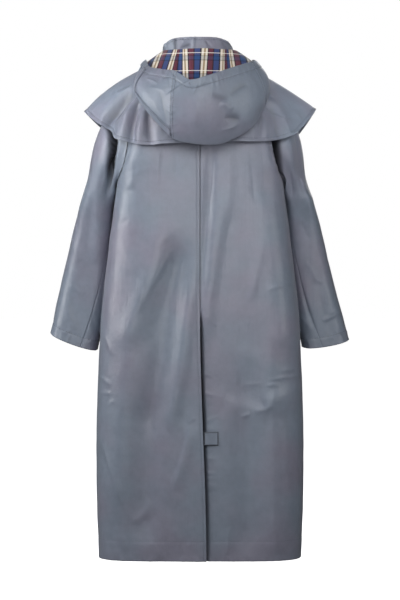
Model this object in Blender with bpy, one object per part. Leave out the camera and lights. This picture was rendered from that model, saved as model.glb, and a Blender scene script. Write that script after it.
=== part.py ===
"""A long raincoat with a stand collar, a shoulder cape and a hood let down on the back.

Lengths are metres. +Z is up and the wearer faces +Y. The origin is the middle of the neck at the
height of the nape, where the coat hangs from the wearer's shoulders. Each piece of cloth is a thin
closed wall on a smooth surface. One coordinate of a surface runs round the wearer, from the left
across the back to the right, and the other runs up, so the surface's normal points out.
"""

from collections import namedtuple

import bpy
import numpy as np

# Cloth and seams; half of a seam's gap is also given in the coordinate of each surface
CLOTH = 0.0015
LINING_CLOTH = 0.0012
SEAM_GAP = 0.0003
BODY_SEAM = 0.0006
SLEEVE_SEAM = 0.0005
HOOD_SEAM_DEGREES = 0.08
ACROSS, ALONG = 0, 1
NO_LIMITS = (-1e3, 1e3, -1e3, 1e3)
SHARP_DEGREES = 50.0

# Heights from the nape
HEM = -1.236
UNDERARM = -0.310
VENT_TOP = -0.620
FRONT_NECK_DROP = 0.062

# Neck seam, an egg shape round the origin
NECK_HALF_WIDTH = 0.090
NECK_BACK = 0.070
NECK_FRONT = 0.080
NECK_SIDE_RISE = 0.004
SHOULDER_NECK_ANGLE = 80.0

# Armhole on the right side
SHOULDER_POINT = np.array([0.195, 0.0, -0.085])
ARMHOLE_FRONT = 0.082
ARMHOLE_BACK = 0.076
ARMHOLE_INSET = 0.026
ARMHOLE_GAP = 0.0011

# Share of the half width that each run of the top edge takes, neck first and then shoulder
NECK_SHARE = 0.45

# Body outline: the sections are rounded boxes of this power, with the side seam just behind the widest
# point, and the bend at underarm height is softened away from the side seam
BODY_POWER = 3.0
UNDERARM_SOFTNESS = 0.22
UNDERARM_REACH = 0.45
SOFTENING = ((-1.0, 0.12), (-0.5, 0.23), (0.0, 0.30), (0.5, 0.23), (1.0, 0.12))
SIDE_SEAM_TURN = 8.0

Section = namedtuple("Section", "height half_width back front")
BODY_SECTIONS = (
    Section(HEM, 0.250, 0.160, 0.150),
    Section(-1.150, 0.254, 0.163, 0.152),
    Section(-0.800, 0.253, 0.160, 0.152),
    Section(-0.668, 0.2465, 0.155, 0.150),
    Section(-0.593, 0.2405, 0.151, 0.149),
    Section(-0.480, 0.2275, 0.143, 0.147),
    Section(UNDERARM, 0.2055, 0.128, 0.140),
)

CentreLine = namedtuple("CentreLine", "height depth")
CENTRE_BACK = (
    CentreLine(UNDERARM, 0.128),
    CentreLine(-0.200, 0.124),
    CentreLine(-0.090, 0.106),
    CentreLine(0.0, NECK_BACK),
)
CENTRE_FRONT = (
    CentreLine(UNDERARM, 0.140),
    CentreLine(-0.200, 0.132),
    CentreLine(-0.110, 0.106),
    CentreLine(-FRONT_NECK_DROP, NECK_FRONT),
)

# Soft folds of the body: a line from its top to its foot, how wide, and how far out (in if negative)
Fold = namedtuple("Fold", "face top_x top_z foot_x foot_z width depth")
BACK, FRONT = -1, 1
FOLD_END = 0.25
BODY_FOLDS = (
    Fold(BACK, 0.026, -0.235, 0.004, -0.58, 0.012, -0.0045),
    Fold(BACK, 0.054, -0.36, 0.014, -0.68, 0.020, 0.0045),
    Fold(BACK, -0.088, -0.43, -0.178, -0.70, 0.030, 0.007),
    Fold(BACK, -0.172, -0.66, -0.214, -1.10, 0.034, 0.006),
    Fold(BACK, -0.046, -0.47, -0.122, -0.90, 0.030, -0.010),
    Fold(BACK, -0.118, -0.86, -0.134, -1.17, 0.034, -0.009),
    Fold(BACK, -0.022, -0.58, -0.066, -0.90, 0.020, 0.006),
    Fold(BACK, 0.133, -0.36, 0.150, -0.72, 0.034, 0.006),
    Fold(BACK, 0.110, -0.78, 0.118, -1.20, 0.036, -0.006),
    Fold(BACK, 0.180, -0.72, 0.190, -1.20, 0.034, 0.006),
    Fold(FRONT, -0.120, -0.40, -0.150, -1.18, 0.036, -0.009),
    Fold(FRONT, 0.110, -0.44, 0.140, -1.20, 0.038, -0.009),
    Fold(FRONT, -0.075, -0.70, -0.080, -1.22, 0.030, 0.005),
    Fold(FRONT, 0.070, -0.66, 0.078, -1.20, 0.030, 0.005),
)

# Centre back vent: the left panel stands out and crosses the middle as it falls, the right one sinks
VENT_LIFT = 0.004
VENT_SINK = 0.003
VENT_SPREAD = 0.045
VENT_FADE = 0.10
VENT_CROSSING = 0.017
VENT_UNDERLAP_WIDTH = 0.055
VENT_UNDERLAP_IN = 0.0036
VENT_UNDERLAP_RISE = 0.004
VENT_UNDERLAP_GAP = 0.002

TAB_HEIGHT = -0.938
TAB_WIDTH = 0.034
TAB_DROP = 0.033
TAB_LIFT = 0.0045

# Right sleeve, cuff to armhole: the ring's outer and inner ends, its middle in Y, how far its outer end
# lies forward of the middle, and its half depths
Ring = namedtuple("Ring", "along outer_x outer_z inner_x inner_z middle_y lean front back")
SLEEVE_RINGS = (
    Ring(0.00, 0.3723, -0.6860, 0.2600, -0.7305, 0.060, -0.008, 0.052, 0.048),
    Ring(0.20, 0.3560, -0.6030, 0.2420, -0.6420, 0.068, -0.016, 0.056, 0.052),
    Ring(0.42, 0.3320, -0.5020, 0.2270, -0.5320, 0.070, -0.022, 0.062, 0.056),
    Ring(0.64, 0.3067, -0.4010, 0.2170, -0.4300, 0.060, -0.024, 0.070, 0.060),
    Ring(0.82, 0.2777, -0.3000, 0.2145, -0.3560, 0.030, -0.012, 0.078, 0.068),
    Ring(0.92, 0.2520, -0.1850, 0.2145, -0.3260, 0.000, 0.000, 0.081, 0.076),
)
# The sleeves hang a little to the left: how far each one's outer edge, and its cuff's two ends, move
SleeveHang = namedtuple("SleeveHang", "name side outer_x cuff_outer_z cuff_inner_z")
SLEEVE_HANGS = (
    SleeveHang("sleeve_left", -1, 0.007, 0.000, 0.002),
    SleeveHang("sleeve_right", 1, -0.006, -0.016, 0.009),
)
HANG_FADE = 0.25
# How much squarer than an ellipse a ring is, down from just below the armhole
SLEEVE_SQUARENESS = 0.32
SQUARE_FADE = 0.30
CUFF_REACH = 0.30
CUFF_BACK_DROP = 0.009
SeamLine = namedtuple("SeamLine", "along turn")
SLEEVE_SEAM_LINE = (SeamLine(0.0, 256.0), SeamLine(0.45, 226.0), SeamLine(1.0, 180.0))
# The hollow that the sleeve makes behind the armhole
CLEFT_TURN = 246.0
CLEFT_SPREAD = 20.0
CLEFT_DEPTH = 0.012
CLEFT_ALONG = 0.90
CLEFT_REACH = 0.075
CLEFT_END = 0.10

# Pocket welts on the side seams
WELT_TOP = -0.556
WELT_FOOT = -0.682
WELT_HALF_WIDTH = 0.012

# Front placket, which runs to just under the neck, and its press studs
PLACKET_TOP = 1.9
PLACKET_OUT = 0.0024
STUD_HEIGHTS = (-0.125, -0.275, -0.425, -0.575, -0.725, -0.875)
STUD_RADIUS = 0.0075
STUD_HEIGHT = 0.003
STUD_STAND_OFF = 0.001
STUD_SIDES = 16
StudRing = namedtuple("StudRing", "rise width")
STUD_RINGS = (StudRing(0.0, 1.0), StudRing(0.6, 1.0), StudRing(0.9, 0.75), StudRing(1.0, 0.35))

# Stand collar
COLLAR_HEIGHT = 0.047
COLLAR_FRONT_ANGLE = 166.0
COLLAR_TOP_INSET = 0.004
COLLAR_LEAN = -0.013
COLLAR_BASE_RISE = 0.0013
COLLAR_SIDE_DIP = 0.011

# Shoulder cape: where its hem lies, by the angle of the neck seam above it (0 is the centre back)
CapeHem = namedtuple("CapeHem", "angle x y z bulge")
CAPE_HEM = (
    CapeHem(-160.0, -0.050, 0.164, -0.285, 0.020),
    CapeHem(-135.0, -0.150, 0.152, -0.262, 0.022),
    CapeHem(-110.0, -0.238, 0.095, -0.200, 0.020),
    CapeHem(-90.0, -0.291, 0.010, -0.130, 0.017),
    CapeHem(-75.0, -0.264, -0.052, -0.158, 0.018),
    CapeHem(-60.0, -0.224, -0.098, -0.196, 0.020),
    CapeHem(-40.0, -0.152, -0.142, -0.225, 0.022),
    CapeHem(-20.0, -0.075, -0.158, -0.224, 0.022),
    CapeHem(0.0, 0.000, -0.161, -0.222, 0.022),
    CapeHem(20.0, 0.075, -0.158, -0.219, 0.022),
    CapeHem(40.0, 0.146, -0.143, -0.218, 0.022),
    CapeHem(60.0, 0.212, -0.100, -0.205, 0.016),
    CapeHem(75.0, 0.260, -0.052, -0.168, 0.009),
    CapeHem(90.0, 0.292, 0.010, -0.124, 0.006),
    CapeHem(110.0, 0.240, 0.095, -0.198, 0.014),
    CapeHem(135.0, 0.150, 0.152, -0.262, 0.022),
    CapeHem(160.0, 0.050, 0.164, -0.285, 0.020),
)
CapeFold = namedtuple("CapeFold", "angle width depth")
CAPE_FOLDS = (
    CapeFold(-118.0, 9.0, -0.010),
    CapeFold(-64.0, 6.0, -0.017),
    CapeFold(-52.0, 4.0, 0.008),
    CapeFold(-45.0, 3.5, -0.010),
    CapeFold(-39.0, 3.0, 0.006),
    CapeFold(-32.0, 3.5, -0.007),
    CapeFold(54.0, 5.5, -0.010),
    CapeFold(64.0, 5.0, 0.007),
    CapeFold(118.0, 9.0, -0.010),
)
CAPE_NECK_OUT = 0.0045
CAPE_NECK_RISE = 0.003
CAPE_FOLD_POWER = 1.5

# Hood let down on the back: the fold at its lowest edge and the rim of its face opening, by neck angle
HoodStation = namedtuple("HoodStation", "angle fold_x fold_y fold_z rim_x rim_y rim_z bulge")
HOOD_STATIONS = (
    HoodStation(-150.0, -0.070, 0.112, -0.068, -0.056, 0.102, -0.048, 0.003),
    HoodStation(-115.0, -0.128, 0.050, -0.031, -0.123, 0.049, -0.017, 0.003),
    HoodStation(-90.0, -0.140, -0.015, -0.014, -0.134, -0.020, -0.004, 0.003),
    HoodStation(-68.0, -0.156, -0.090, -0.062, -0.130, -0.080, -0.018, 0.008),
    HoodStation(-52.0, -0.154, -0.142, -0.106, -0.120, -0.128, -0.036, 0.012),
    HoodStation(-38.0, -0.118, -0.176, -0.158, -0.088, -0.164, -0.046, 0.016),
    HoodStation(-22.0, -0.064, -0.190, -0.212, -0.056, -0.200, -0.056, 0.018),
    HoodStation(-8.0, -0.026, -0.194, -0.226, -0.020, -0.226, -0.079, 0.018),
    HoodStation(6.0, 0.018, -0.195, -0.231, 0.014, -0.232, -0.070, 0.018),
    HoodStation(22.0, 0.066, -0.188, -0.223, 0.056, -0.222, -0.055, 0.018),
    HoodStation(36.0, 0.128, -0.168, -0.184, 0.098, -0.192, -0.038, 0.018),
    HoodStation(52.0, 0.168, -0.126, -0.104, 0.134, -0.134, -0.021, 0.014),
    HoodStation(68.0, 0.158, -0.080, -0.054, 0.136, -0.076, -0.016, 0.008),
    HoodStation(90.0, 0.139, -0.015, -0.014, 0.131, -0.020, -0.004, 0.003),
    HoodStation(115.0, 0.126, 0.050, -0.031, 0.119, 0.049, -0.017, 0.003),
    HoodStation(150.0, 0.070, 0.112, -0.068, 0.056, 0.102, -0.048, 0.003),
)
HOOD_LEFT_SEAM = -22.0
HOOD_RIGHT_SEAM = 46.0
HOOD_END = HOOD_STATIONS[-1].angle
HoodPanel = namedtuple("HoodPanel", "name start end columns")
HOOD_PANELS = (
    HoodPanel("hood_left", -HOOD_END, HOOD_LEFT_SEAM, 17),
    HoodPanel("hood_centre", HOOD_LEFT_SEAM, HOOD_RIGHT_SEAM, 12),
    HoodPanel("hood_right", HOOD_RIGHT_SEAM, HOOD_END, 14),
)
HOOD_SAG = 0.25
HOOD_NECK_OUT = 0.0045
HOOD_NECK_RISE = 0.0085
HOOD_NAPE_RISE = 0.010
HOOD_SIDE_RISE = 0.016
HOOD_SIDE_OUT = 0.007
HOOD_LINING_IN = 0.004
HOOD_LINING_BULGE = 0.62
HOOD_TRIM_OUT = 0.0026
HOOD_BAND_ANGLES = (-52.0, -23.0)
HOOD_BAND_RUN = (0.01, 0.13)
TURN_BACK_ANGLES = (-63.0, -54.0)
TURN_BACK_RUN = (0.04, 0.86)

# How finely the cloth is divided; the sleeves' rings meet the armhole row by row
PANEL_COLUMNS = 12
SKIRT_ROWS = 13
YOKE_ROWS = 10
SLEEVE_ARM_ROWS = 7
SLEEVE_HEAD_ROWS = 6
SLEEVE_HEAD = 0.72
CAPE_COLUMNS, CAPE_ROWS = 53, 7
COLLAR_COLUMNS, COLLAR_ROWS = 30, 3
LINING_COLUMNS = 39
HOOD_ROWS = 7
BODY_ROWS = np.concatenate([np.arange(SKIRT_ROWS) / SKIRT_ROWS, 1.0 + np.arange(YOKE_ROWS + 1) / YOKE_ROWS])


def smooth_curve(rows, key, values, at):
    """Values of a smooth curve through a table's rows, read at other keys."""
    keys = np.array([getattr(row, key) for row in rows])
    points = np.array([[getattr(row, value) for value in values] for row in rows])
    slopes = np.gradient(points, keys, axis=0)
    at = np.clip(np.asarray(at, float), keys[0], keys[-1])
    start = np.clip(np.searchsorted(keys, at, side="right") - 1, 0, len(keys) - 2)
    span = (keys[start + 1] - keys[start])[..., None]
    part = ((at - keys[start])[..., None]) / span
    rest = 1 - part
    from_start = (1 + 2 * part) * rest**2 * points[start] + part * rest**2 * span * slopes[start]
    from_end = part**2 * (3 - 2 * part) * points[start + 1] - part**2 * rest * span * slopes[start + 1]
    return from_start + from_end


def vector(x, y, z):
    return np.stack(np.broadcast_arrays(x, y, z), axis=-1).astype(float)


def unit(vectors):
    return vectors / np.linalg.norm(vectors, axis=-1, keepdims=True)


def ease(share):
    """0 to 1 with a soft start and end."""
    share = np.clip(share, 0.0, 1.0)
    return share * share * (3.0 - 2.0 * share)


def hump(distance, spread):
    """1 at no distance, falling away evenly on both sides."""
    return np.exp(-((distance / spread) ** 2))


def bow(share):
    """0 at both ends and 1 half way."""
    return 4 * share * (1 - share)


def steps(start, end, count):
    """The points that divide a run into a number of equal parts."""
    return np.linspace(start, end, count + 1)


def mirrored(points, side):
    return points * vector(side, np.ones_like(side), np.ones_like(side))


def neck_point(angle, out=0.0, rise=0.0):
    """A point of the neck seam at an angle from the centre back, moved out and up."""
    turn = np.radians(angle)
    depth = np.where(np.cos(turn) > 0, NECK_BACK, NECK_FRONT)
    x = (NECK_HALF_WIDTH + out) * np.sin(turn)
    y = -(depth + out) * np.cos(turn)
    drop = FRONT_NECK_DROP * ((1 - np.cos(turn)) / 2) ** 2
    return vector(x, y, NECK_SIDE_RISE * np.sin(turn) ** 2 - drop + rise)


def body_ring(share, height):
    """The right half of a level section: share 0 at the centre back, 1 at the side seam, 2 at the front."""
    turn = np.radians(np.interp(share, (0, 1, 2), (-90.0, -SIDE_SEAM_TURN, 90.0)))
    size = smooth_curve(BODY_SECTIONS, "height", ("half_width", "back", "front"), height)
    depth = np.where(np.sin(turn) < 0, size[..., 1], size[..., 2])
    across = np.abs(np.cos(turn) / size[..., 0]) ** BODY_POWER
    along = np.abs(np.sin(turn) / depth) ** BODY_POWER
    radius = (across + along) ** (-1 / BODY_POWER)
    return vector(radius * np.cos(turn), radius * np.sin(turn), height)


def underarm_point():
    return body_ring(np.array(1.0), np.array(UNDERARM))


def armhole_point(turn):
    """The right armhole: 0 degrees at the shoulder, 90 at the front, 180 underarm, 270 at the back."""
    angle = np.radians(turn)[..., None]
    foot = underarm_point()
    depth = np.where(np.sin(angle) > 0, ARMHOLE_FRONT, ARMHOLE_BACK)
    middle = (SHOULDER_POINT + foot) / 2
    half = (SHOULDER_POINT - foot) / 2
    inset = np.sin(angle) ** 2 * ARMHOLE_INSET * np.array([-1.0, 0.0, 0.0])
    return middle + np.cos(angle) * half + np.sin(angle) * depth * np.array([0.0, 1.0, 0.0]) + inset


def centre_line(share, face):
    """The centre back or centre front line, from underarm height up to the neck."""
    rows = CENTRE_BACK if face == BACK else CENTRE_FRONT
    height = UNDERARM + share * (rows[-1].height - UNDERARM)
    depth = smooth_curve(rows, "height", ("depth",), height)[..., 0]
    return vector(0.0 * height, face * depth, height)


def top_edge(share, face):
    """The neck from the centre to the shoulder seam, then the shoulder seam to the armhole."""
    start = 0.0 if face == BACK else 180.0
    neck = neck_point(start + np.clip(share / NECK_SHARE, 0, 1) * (SHOULDER_NECK_ANGLE - start))
    along_seam = np.clip((share - NECK_SHARE) / (1 - NECK_SHARE), 0, 1)[..., None]
    return neck + along_seam * (SHOULDER_POINT - neck)


def yoke(across, up, face):
    """The right upper back or front, filled in between its four edges."""
    ring_share = across if face == BACK else 2.0 - across
    foot = body_ring(ring_share, np.full_like(across, UNDERARM))
    top = top_edge(across, face)
    centre = centre_line(up, face)
    side = armhole_point(180.0 - face * 180.0 * up)
    u = across[..., None]
    v = up[..., None]
    corner_low = centre_line(0.0 * up, face)
    corner_high = centre_line(0.0 * up + 1.0, face)
    flat = (1 - v) * ((1 - u) * corner_low + u * underarm_point())
    flat = flat + v * ((1 - u) * corner_high + u * SHOULDER_POINT)
    return (1 - v) * foot + v * top + (1 - u) * centre + u * side - flat


def fold_depth(x, z, face):
    """How far the soft folds move the body's cloth out of its plain section."""
    total = np.zeros_like(x)
    for fold in BODY_FOLDS:
        share = (fold.top_z - z) / (fold.top_z - fold.foot_z)
        line = fold.top_x + np.clip(share, 0, 1) * (fold.foot_x - fold.top_x)
        fade = ease(share / FOLD_END + 0.5) * ease((1 - share) / FOLD_END + 0.5)
        total = total + np.where(face == fold.face, fold.depth * fade * hump(x - line, fold.width), 0.0)
    return total


def plain_body(share, up):
    """The right half of the body before its folds: skirt up to the underarm, yoke above it."""
    height = HEM + np.clip(up, 0, 1) * (UNDERARM - HEM)
    low = body_ring(share, height)
    yoke_up = np.clip(up - 1.0, 0, 1)
    back = yoke(np.clip(share, 0, 1), yoke_up, BACK)
    front = yoke(np.clip(2.0 - share, 0, 1), yoke_up, FRONT)
    high = np.where((share <= 1)[..., None], back, front)
    return np.where((up <= 1)[..., None], low, high)


def body(around, up):
    """The coat's body: around 0 centre back, +-1 side seams, +-2 front; up 0 hem, 1 underarm, 2 top."""
    around = (np.asarray(around, float) + 2.0) % 4.0 - 2.0
    side = np.where(around < 0, -1.0, 1.0)
    share = np.abs(around)
    from_seam = 1 - np.abs(1 - share)
    window = UNDERARM_SOFTNESS * (1 - from_seam**3) * hump(up - 1.0, UNDERARM_REACH)
    soft = sum(part * plain_body(share, up + window * shift) for shift, part in SOFTENING)
    points = mirrored(soft, side)
    face = np.where(share <= 1, BACK, FRONT)
    points[..., 1] += face * fold_depth(points[..., 0], points[..., 2], face)
    return points


def vent_reach(x, z):
    """How much the vent shows at a point: 1 along the open vent, 0 well away from it."""
    return hump(x, VENT_SPREAD) * ease((VENT_TOP - z) / VENT_FADE)


def back_left(around, up):
    """The left back, whose vent edge crosses the middle as it falls and stands out."""
    plain = body(around, up)
    crossing = VENT_CROSSING * ease((VENT_TOP - plain[..., 2]) / (VENT_TOP - HEM))
    half_width = np.abs(body(np.full_like(around, 1.0), up)[..., 0])
    points = body(around + (1.0 + around) * crossing / half_width, up)
    points[..., 1] -= VENT_LIFT * vent_reach(points[..., 0], points[..., 2])
    return points


def back_right(around, up):
    points = body(around, up)
    points[..., 1] += VENT_SINK * vent_reach(points[..., 0], points[..., 2])
    return points


def vent_underlap(around, up):
    points = body(around, up)
    points[..., 1] += VENT_SINK * ease((VENT_TOP - points[..., 2]) / VENT_FADE) + VENT_UNDERLAP_IN
    return points


def sleeve_point(turn, along, hang):
    """A sleeve seen on the right: turn as at the armhole, along 0 at the cuff and 1 at the armhole."""
    foot = underarm_point()
    top = SHOULDER_POINT
    middle_y = (top[1] + foot[1]) / 2
    lean = (top[1] - foot[1]) / 2
    armhole = Ring(1.0, top[0], top[2], foot[0], foot[2], middle_y, lean, ARMHOLE_FRONT, ARMHOLE_BACK)
    ring = Ring(*np.moveaxis(smooth_curve(SLEEVE_RINGS + (armhole,), "along", Ring._fields, along), -1, 0))
    near_armhole = ease((along - SLEEVE_RINGS[-2].along) / (1 - SLEEVE_RINGS[-2].along))
    angle = np.radians(turn)
    share = (1 + np.cos(angle)) / 2
    free = np.minimum(1.0, (1 - along) / HANG_FADE)
    near_cuff = ease(1 - along / CUFF_REACH)
    outer_x = ring.outer_x + free * hang.outer_x
    outer_z = ring.outer_z + near_cuff * hang.cuff_outer_z
    inner_z = ring.inner_z + near_cuff * hang.cuff_inner_z
    x = ring.inner_x + share * (outer_x - ring.inner_x)
    z = inner_z + share * (outer_z - inner_z) + near_cuff * CUFF_BACK_DROP * np.sin(angle)
    depth = np.where(np.sin(angle) > 0, ring.front, ring.back)
    square = 1 + SLEEVE_SQUARENESS * ease((1 - along) / SQUARE_FADE) * np.cos(angle) ** 2
    y = ring.middle_y + np.cos(angle) * ring.lean + np.sin(angle) * square * depth
    x = x - near_armhole * ARMHOLE_INSET * np.sin(angle) ** 2
    turned = (np.asarray(turn) % 360.0) - CLEFT_TURN
    cleft = hump(turned, CLEFT_SPREAD) * hump(along - CLEFT_ALONG, CLEFT_REACH) * (1 - along) / CLEFT_END
    return vector(x, y + CLEFT_DEPTH * cleft, z)


def sleeve(hang):
    """Surface of one sleeve, round from its seam and back to it, from cuff to armhole."""

    def surface(around, along):
        start = np.interp(along, *zip(*SLEEVE_SEAM_LINE))
        points = sleeve_point(start + hang.side * 360.0 * around, along, hang)
        points[..., 0] += ARMHOLE_GAP * ease(along)
        return mirrored(points, np.full(np.shape(along), float(hang.side)))

    return surface


def collar(angle, up):
    """The stand collar, which leans a little to the left at its top."""
    base = neck_point(angle, out=CLOTH, rise=COLLAR_BASE_RISE)
    height = COLLAR_HEIGHT - COLLAR_SIDE_DIP * np.sin(np.radians(angle)) ** 4
    top = neck_point(angle, out=CLOTH - COLLAR_TOP_INSET, rise=height)
    top = top + np.array([COLLAR_LEAN, 0.0, 0.0])
    v = np.asarray(up)[..., None]
    return base + v * (top - base)


def hanging(start, end, share, bulge):
    """A line from start to end that bows up and out between them."""
    run = unit(end - start)
    rise = np.array([0.0, 0.0, 1.0])
    out = unit(rise - run[..., 2:3] * run)
    v = share[..., None]
    return start + v * (end - start) + bow(v) * bulge[..., None] * out


def cape(angle, up):
    """The shoulder cape, from its hem up to the neck seam, with folds that deepen towards the hem."""
    row = smooth_curve(CAPE_HEM, "angle", ("x", "y", "z", "bulge"), angle)
    neck = neck_point(angle, out=CAPE_NECK_OUT, rise=CAPE_NECK_RISE)
    points = hanging(row[..., :3], neck, up, row[..., 3])
    fall = (1 - up) ** CAPE_FOLD_POWER
    depth = sum(fold.depth * hump(angle - fold.angle, fold.width) for fold in CAPE_FOLDS) * fall
    out = unit(row[..., :3] * np.array([1.0, 1.0, 0.0]))
    return points + depth[..., None] * out


def hood(angle, up):
    """The hood's near wall, from the fold at its foot up to the rim of its face opening."""
    columns = ("fold_x", "fold_y", "fold_z", "rim_x", "rim_y", "rim_z", "bulge")
    row = smooth_curve(HOOD_STATIONS, "angle", columns, angle)
    fold = row[..., :3]
    rim = row[..., 3:6]
    v = np.asarray(up)[..., None]
    out = unit((fold + rim) * np.array([0.5, 0.5, 0.0]))
    belly = bow(v) * row[..., 6:7] * (1 + HOOD_SAG * (1 - 2 * v))
    return fold + v * (rim - fold) + belly * out


def hood_lining(angle, up):
    """The hood's far wall, from just inside the fold up to the neck seam."""
    at_fold = np.zeros_like(up)
    foot = hood(angle, at_fold) - HOOD_LINING_IN * outward(hood, angle, at_fold + HOOD_BAND_RUN[0])
    at_nape = np.maximum(np.cos(np.radians(angle)), 0.0) ** 2
    at_side = np.sin(np.radians(angle)) ** 4
    rise = HOOD_NECK_RISE + HOOD_NAPE_RISE * at_nape + HOOD_SIDE_RISE * at_side
    neck = neck_point(angle, out=HOOD_NECK_OUT + HOOD_SIDE_OUT * at_side, rise=rise)
    bulge = smooth_curve(HOOD_STATIONS, "angle", ("bulge",), angle)[..., 0]
    return hanging(foot, neck, up, HOOD_LINING_BULGE * bulge)


def outward(surface, around, up, limits=NO_LIMITS, step=1e-3):
    """Unit normals of a surface, read just inside the limits of its piece."""
    around = np.asarray(around, float)
    up = np.asarray(up, float)
    low_a, high_a, low_u, high_u = limits
    right = surface(np.clip(around + step, low_a, high_a), up)
    left = surface(np.clip(around - step, low_a, high_a), up)
    above = surface(around, np.clip(up + step, low_u, high_u))
    below = surface(around, np.clip(up - step, low_u, high_u))
    return unit(np.cross(right - left, above - below))


def moved_out(surface, distance):
    """The surface of a piece that lies on another, made from its points, moved out."""

    def lifted(around, up):
        return surface(around, up) + distance * outward(surface, around, up)

    return lifted


def material(name, colour, roughness, metallic=0.0):
    made = bpy.data.materials.new(name)
    made.use_nodes = True
    shader = made.node_tree.nodes["Principled BSDF"]
    shader.inputs["Base Color"].default_value = (*colour, 1.0)
    shader.inputs["Roughness"].default_value = roughness
    shader.inputs["Metallic"].default_value = metallic
    return made


def split_cells(points, index):
    """Two triangles for each cell of a grid of points, cut along its shorter diagonal."""
    faces = []
    for i in range(len(index) - 1):
        for j in range(len(index[0]) - 1):
            a, b, c, d = index[i, j], index[i, j + 1], index[i + 1, j + 1], index[i + 1, j]
            rising = np.linalg.norm(points[i, j] - points[i + 1, j + 1])
            falling = np.linalg.norm(points[i, j + 1] - points[i + 1, j])
            faces.extend(((a, b, c), (a, c, d)) if rising <= falling else ((a, b, d), (b, c, d)))
    return faces


def wall(name, surface, around, up, finish, thickness=CLOTH, seam_axis=None):
    """A closed wall of cloth under a surface; its top edge is square to seam_axis, where a seam runs.

    Both sides are cut into the same triangles, so the wall is as thick in a twisted cell as elsewhere.
    """
    u, v = np.meshgrid(around, up)
    outer = surface(u, v)
    normal = outward(surface, u, v, (min(around), max(around), min(up), max(up)))
    if seam_axis is not None:
        normal[-1, :, seam_axis] = 0.0
        normal = unit(normal)
    inner = outer - thickness * normal
    rows, columns = u.shape
    count = rows * columns
    index = np.arange(count).reshape(rows, columns)
    outside = split_cells(outer, index)
    inside = [tuple(count + corner for corner in reversed(face)) for face in outside]
    rims = []
    for edge in (index[::-1, 0], index[0, :], index[:, -1], index[-1, ::-1]):
        for here, there in zip(edge[:-1], edge[1:]):
            rims.extend(((here + count, there + count, there), (here + count, there, here)))
    points = np.concatenate([outer.reshape(-1, 3), inner.reshape(-1, 3)])
    mesh = bpy.data.meshes.new(name)
    mesh.from_pydata(points.tolist(), [], np.array(outside + inside + rims).tolist())
    mesh.materials.append(finish)
    mesh.shade_smooth()
    mesh.set_sharp_from_angle(angle=np.radians(SHARP_DEGREES))
    made = bpy.data.objects.new(name, mesh)
    bpy.context.scene.collection.objects.link(made)
    return made


def stud(name, place, normal, finish):
    """A press stud's cap, a low dome on the placket."""
    across = unit(np.cross(normal, np.array([0.0, 0.0, 1.0])))
    upright = np.cross(across, normal)
    turn = np.arange(STUD_SIDES) * 2 * np.pi / STUD_SIDES
    circle = np.outer(np.cos(turn), across) - np.outer(np.sin(turn), upright)
    points = []
    for ring in STUD_RINGS:
        points.extend(place + ring.rise * STUD_HEIGHT * normal + ring.width * STUD_RADIUS * circle)
    last = (len(STUD_RINGS) - 1) * STUD_SIDES
    faces = [tuple(range(STUD_SIDES))[::-1], tuple(range(last, last + STUD_SIDES))]
    for low in range(0, last, STUD_SIDES):
        high = low + STUD_SIDES
        for k in range(STUD_SIDES):
            after = (k + 1) % STUD_SIDES
            faces.append((low + k, low + after, high + after, high + k))
    mesh = bpy.data.meshes.new(name)
    mesh.from_pydata([tuple(point) for point in points], [], faces)
    mesh.materials.append(finish)
    made = bpy.data.objects.new(name, mesh)
    bpy.context.scene.collection.objects.link(made)
    return made


def up_at(height):
    """The body's upward coordinate at a height below the underarm."""
    return (height - HEM) / (UNDERARM - HEM)


def share_at(x, height):
    """The body's coordinate round the back at a distance from the middle."""
    shares = steps(0.0, 1.0, 5 * PANEL_COLUMNS)
    return float(np.interp(x, body_ring(shares, np.full_like(shares, height))[:, 0], shares))


def make_body(finish):
    inset = steps(BODY_SEAM, 1 - BODY_SEAM, PANEL_COLUMNS)
    rows = BODY_ROWS * (1 - BODY_SEAM / 2)
    wall("back_left", back_left, inset - 1.0, rows, finish, seam_axis=ALONG)
    wall("back_right", back_right, inset, rows, finish, seam_axis=ALONG)
    wall("front_right", body, inset + 1.0, rows, finish, seam_axis=ALONG)
    wall("front_left", body, inset - 2.0, rows, finish, seam_axis=ALONG)


def make_vent(finish):
    width = share_at(VENT_UNDERLAP_WIDTH, VENT_TOP)
    rows = steps(VENT_UNDERLAP_RISE, up_at(VENT_TOP), 8)
    wall("vent_underlap", vent_underlap, steps(-width, -VENT_UNDERLAP_GAP, 4), rows, finish)
    edge = VENT_CROSSING * ease((VENT_TOP - TAB_HEIGHT) / (VENT_TOP - HEM)) + CLOTH
    left = share_at(edge, TAB_HEIGHT)
    right = share_at(edge + TAB_WIDTH, TAB_HEIGHT)

    def tab(around, up):
        lift = TAB_LIFT * (1 - ease((around - left) / (right - left))) + SEAM_GAP + CLOTH
        return body(around, up) + lift[..., None] * outward(body, around, up)

    rows = steps(up_at(TAB_HEIGHT - TAB_DROP / 2), up_at(TAB_HEIGHT + TAB_DROP / 2), 3)
    wall("vent_tab", tab, steps(left, right, 5), rows, finish)


def make_front_closure(finish, metal):
    columns = 2.0 + steps(-1.0, 1.0, 3) / PANEL_COLUMNS
    rows = BODY_ROWS[BODY_ROWS < PLACKET_TOP]
    on_front = moved_out(body, PLACKET_OUT)
    wall("front_placket", on_front, columns, rows, finish)
    middle = np.full_like(rows, 2.0)
    heights = body(middle, rows)[:, 2]
    beside = columns[1:3]
    for number, height in enumerate(STUD_HEIGHTS, 1):
        up = np.full(2, np.interp(height, heights, rows))
        normal = unit(outward(body, beside, up).sum(axis=0))
        place = on_front(beside, up).mean(axis=0) + STUD_STAND_OFF * normal
        stud(f"press_stud_{number}", place, normal, metal)


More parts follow.
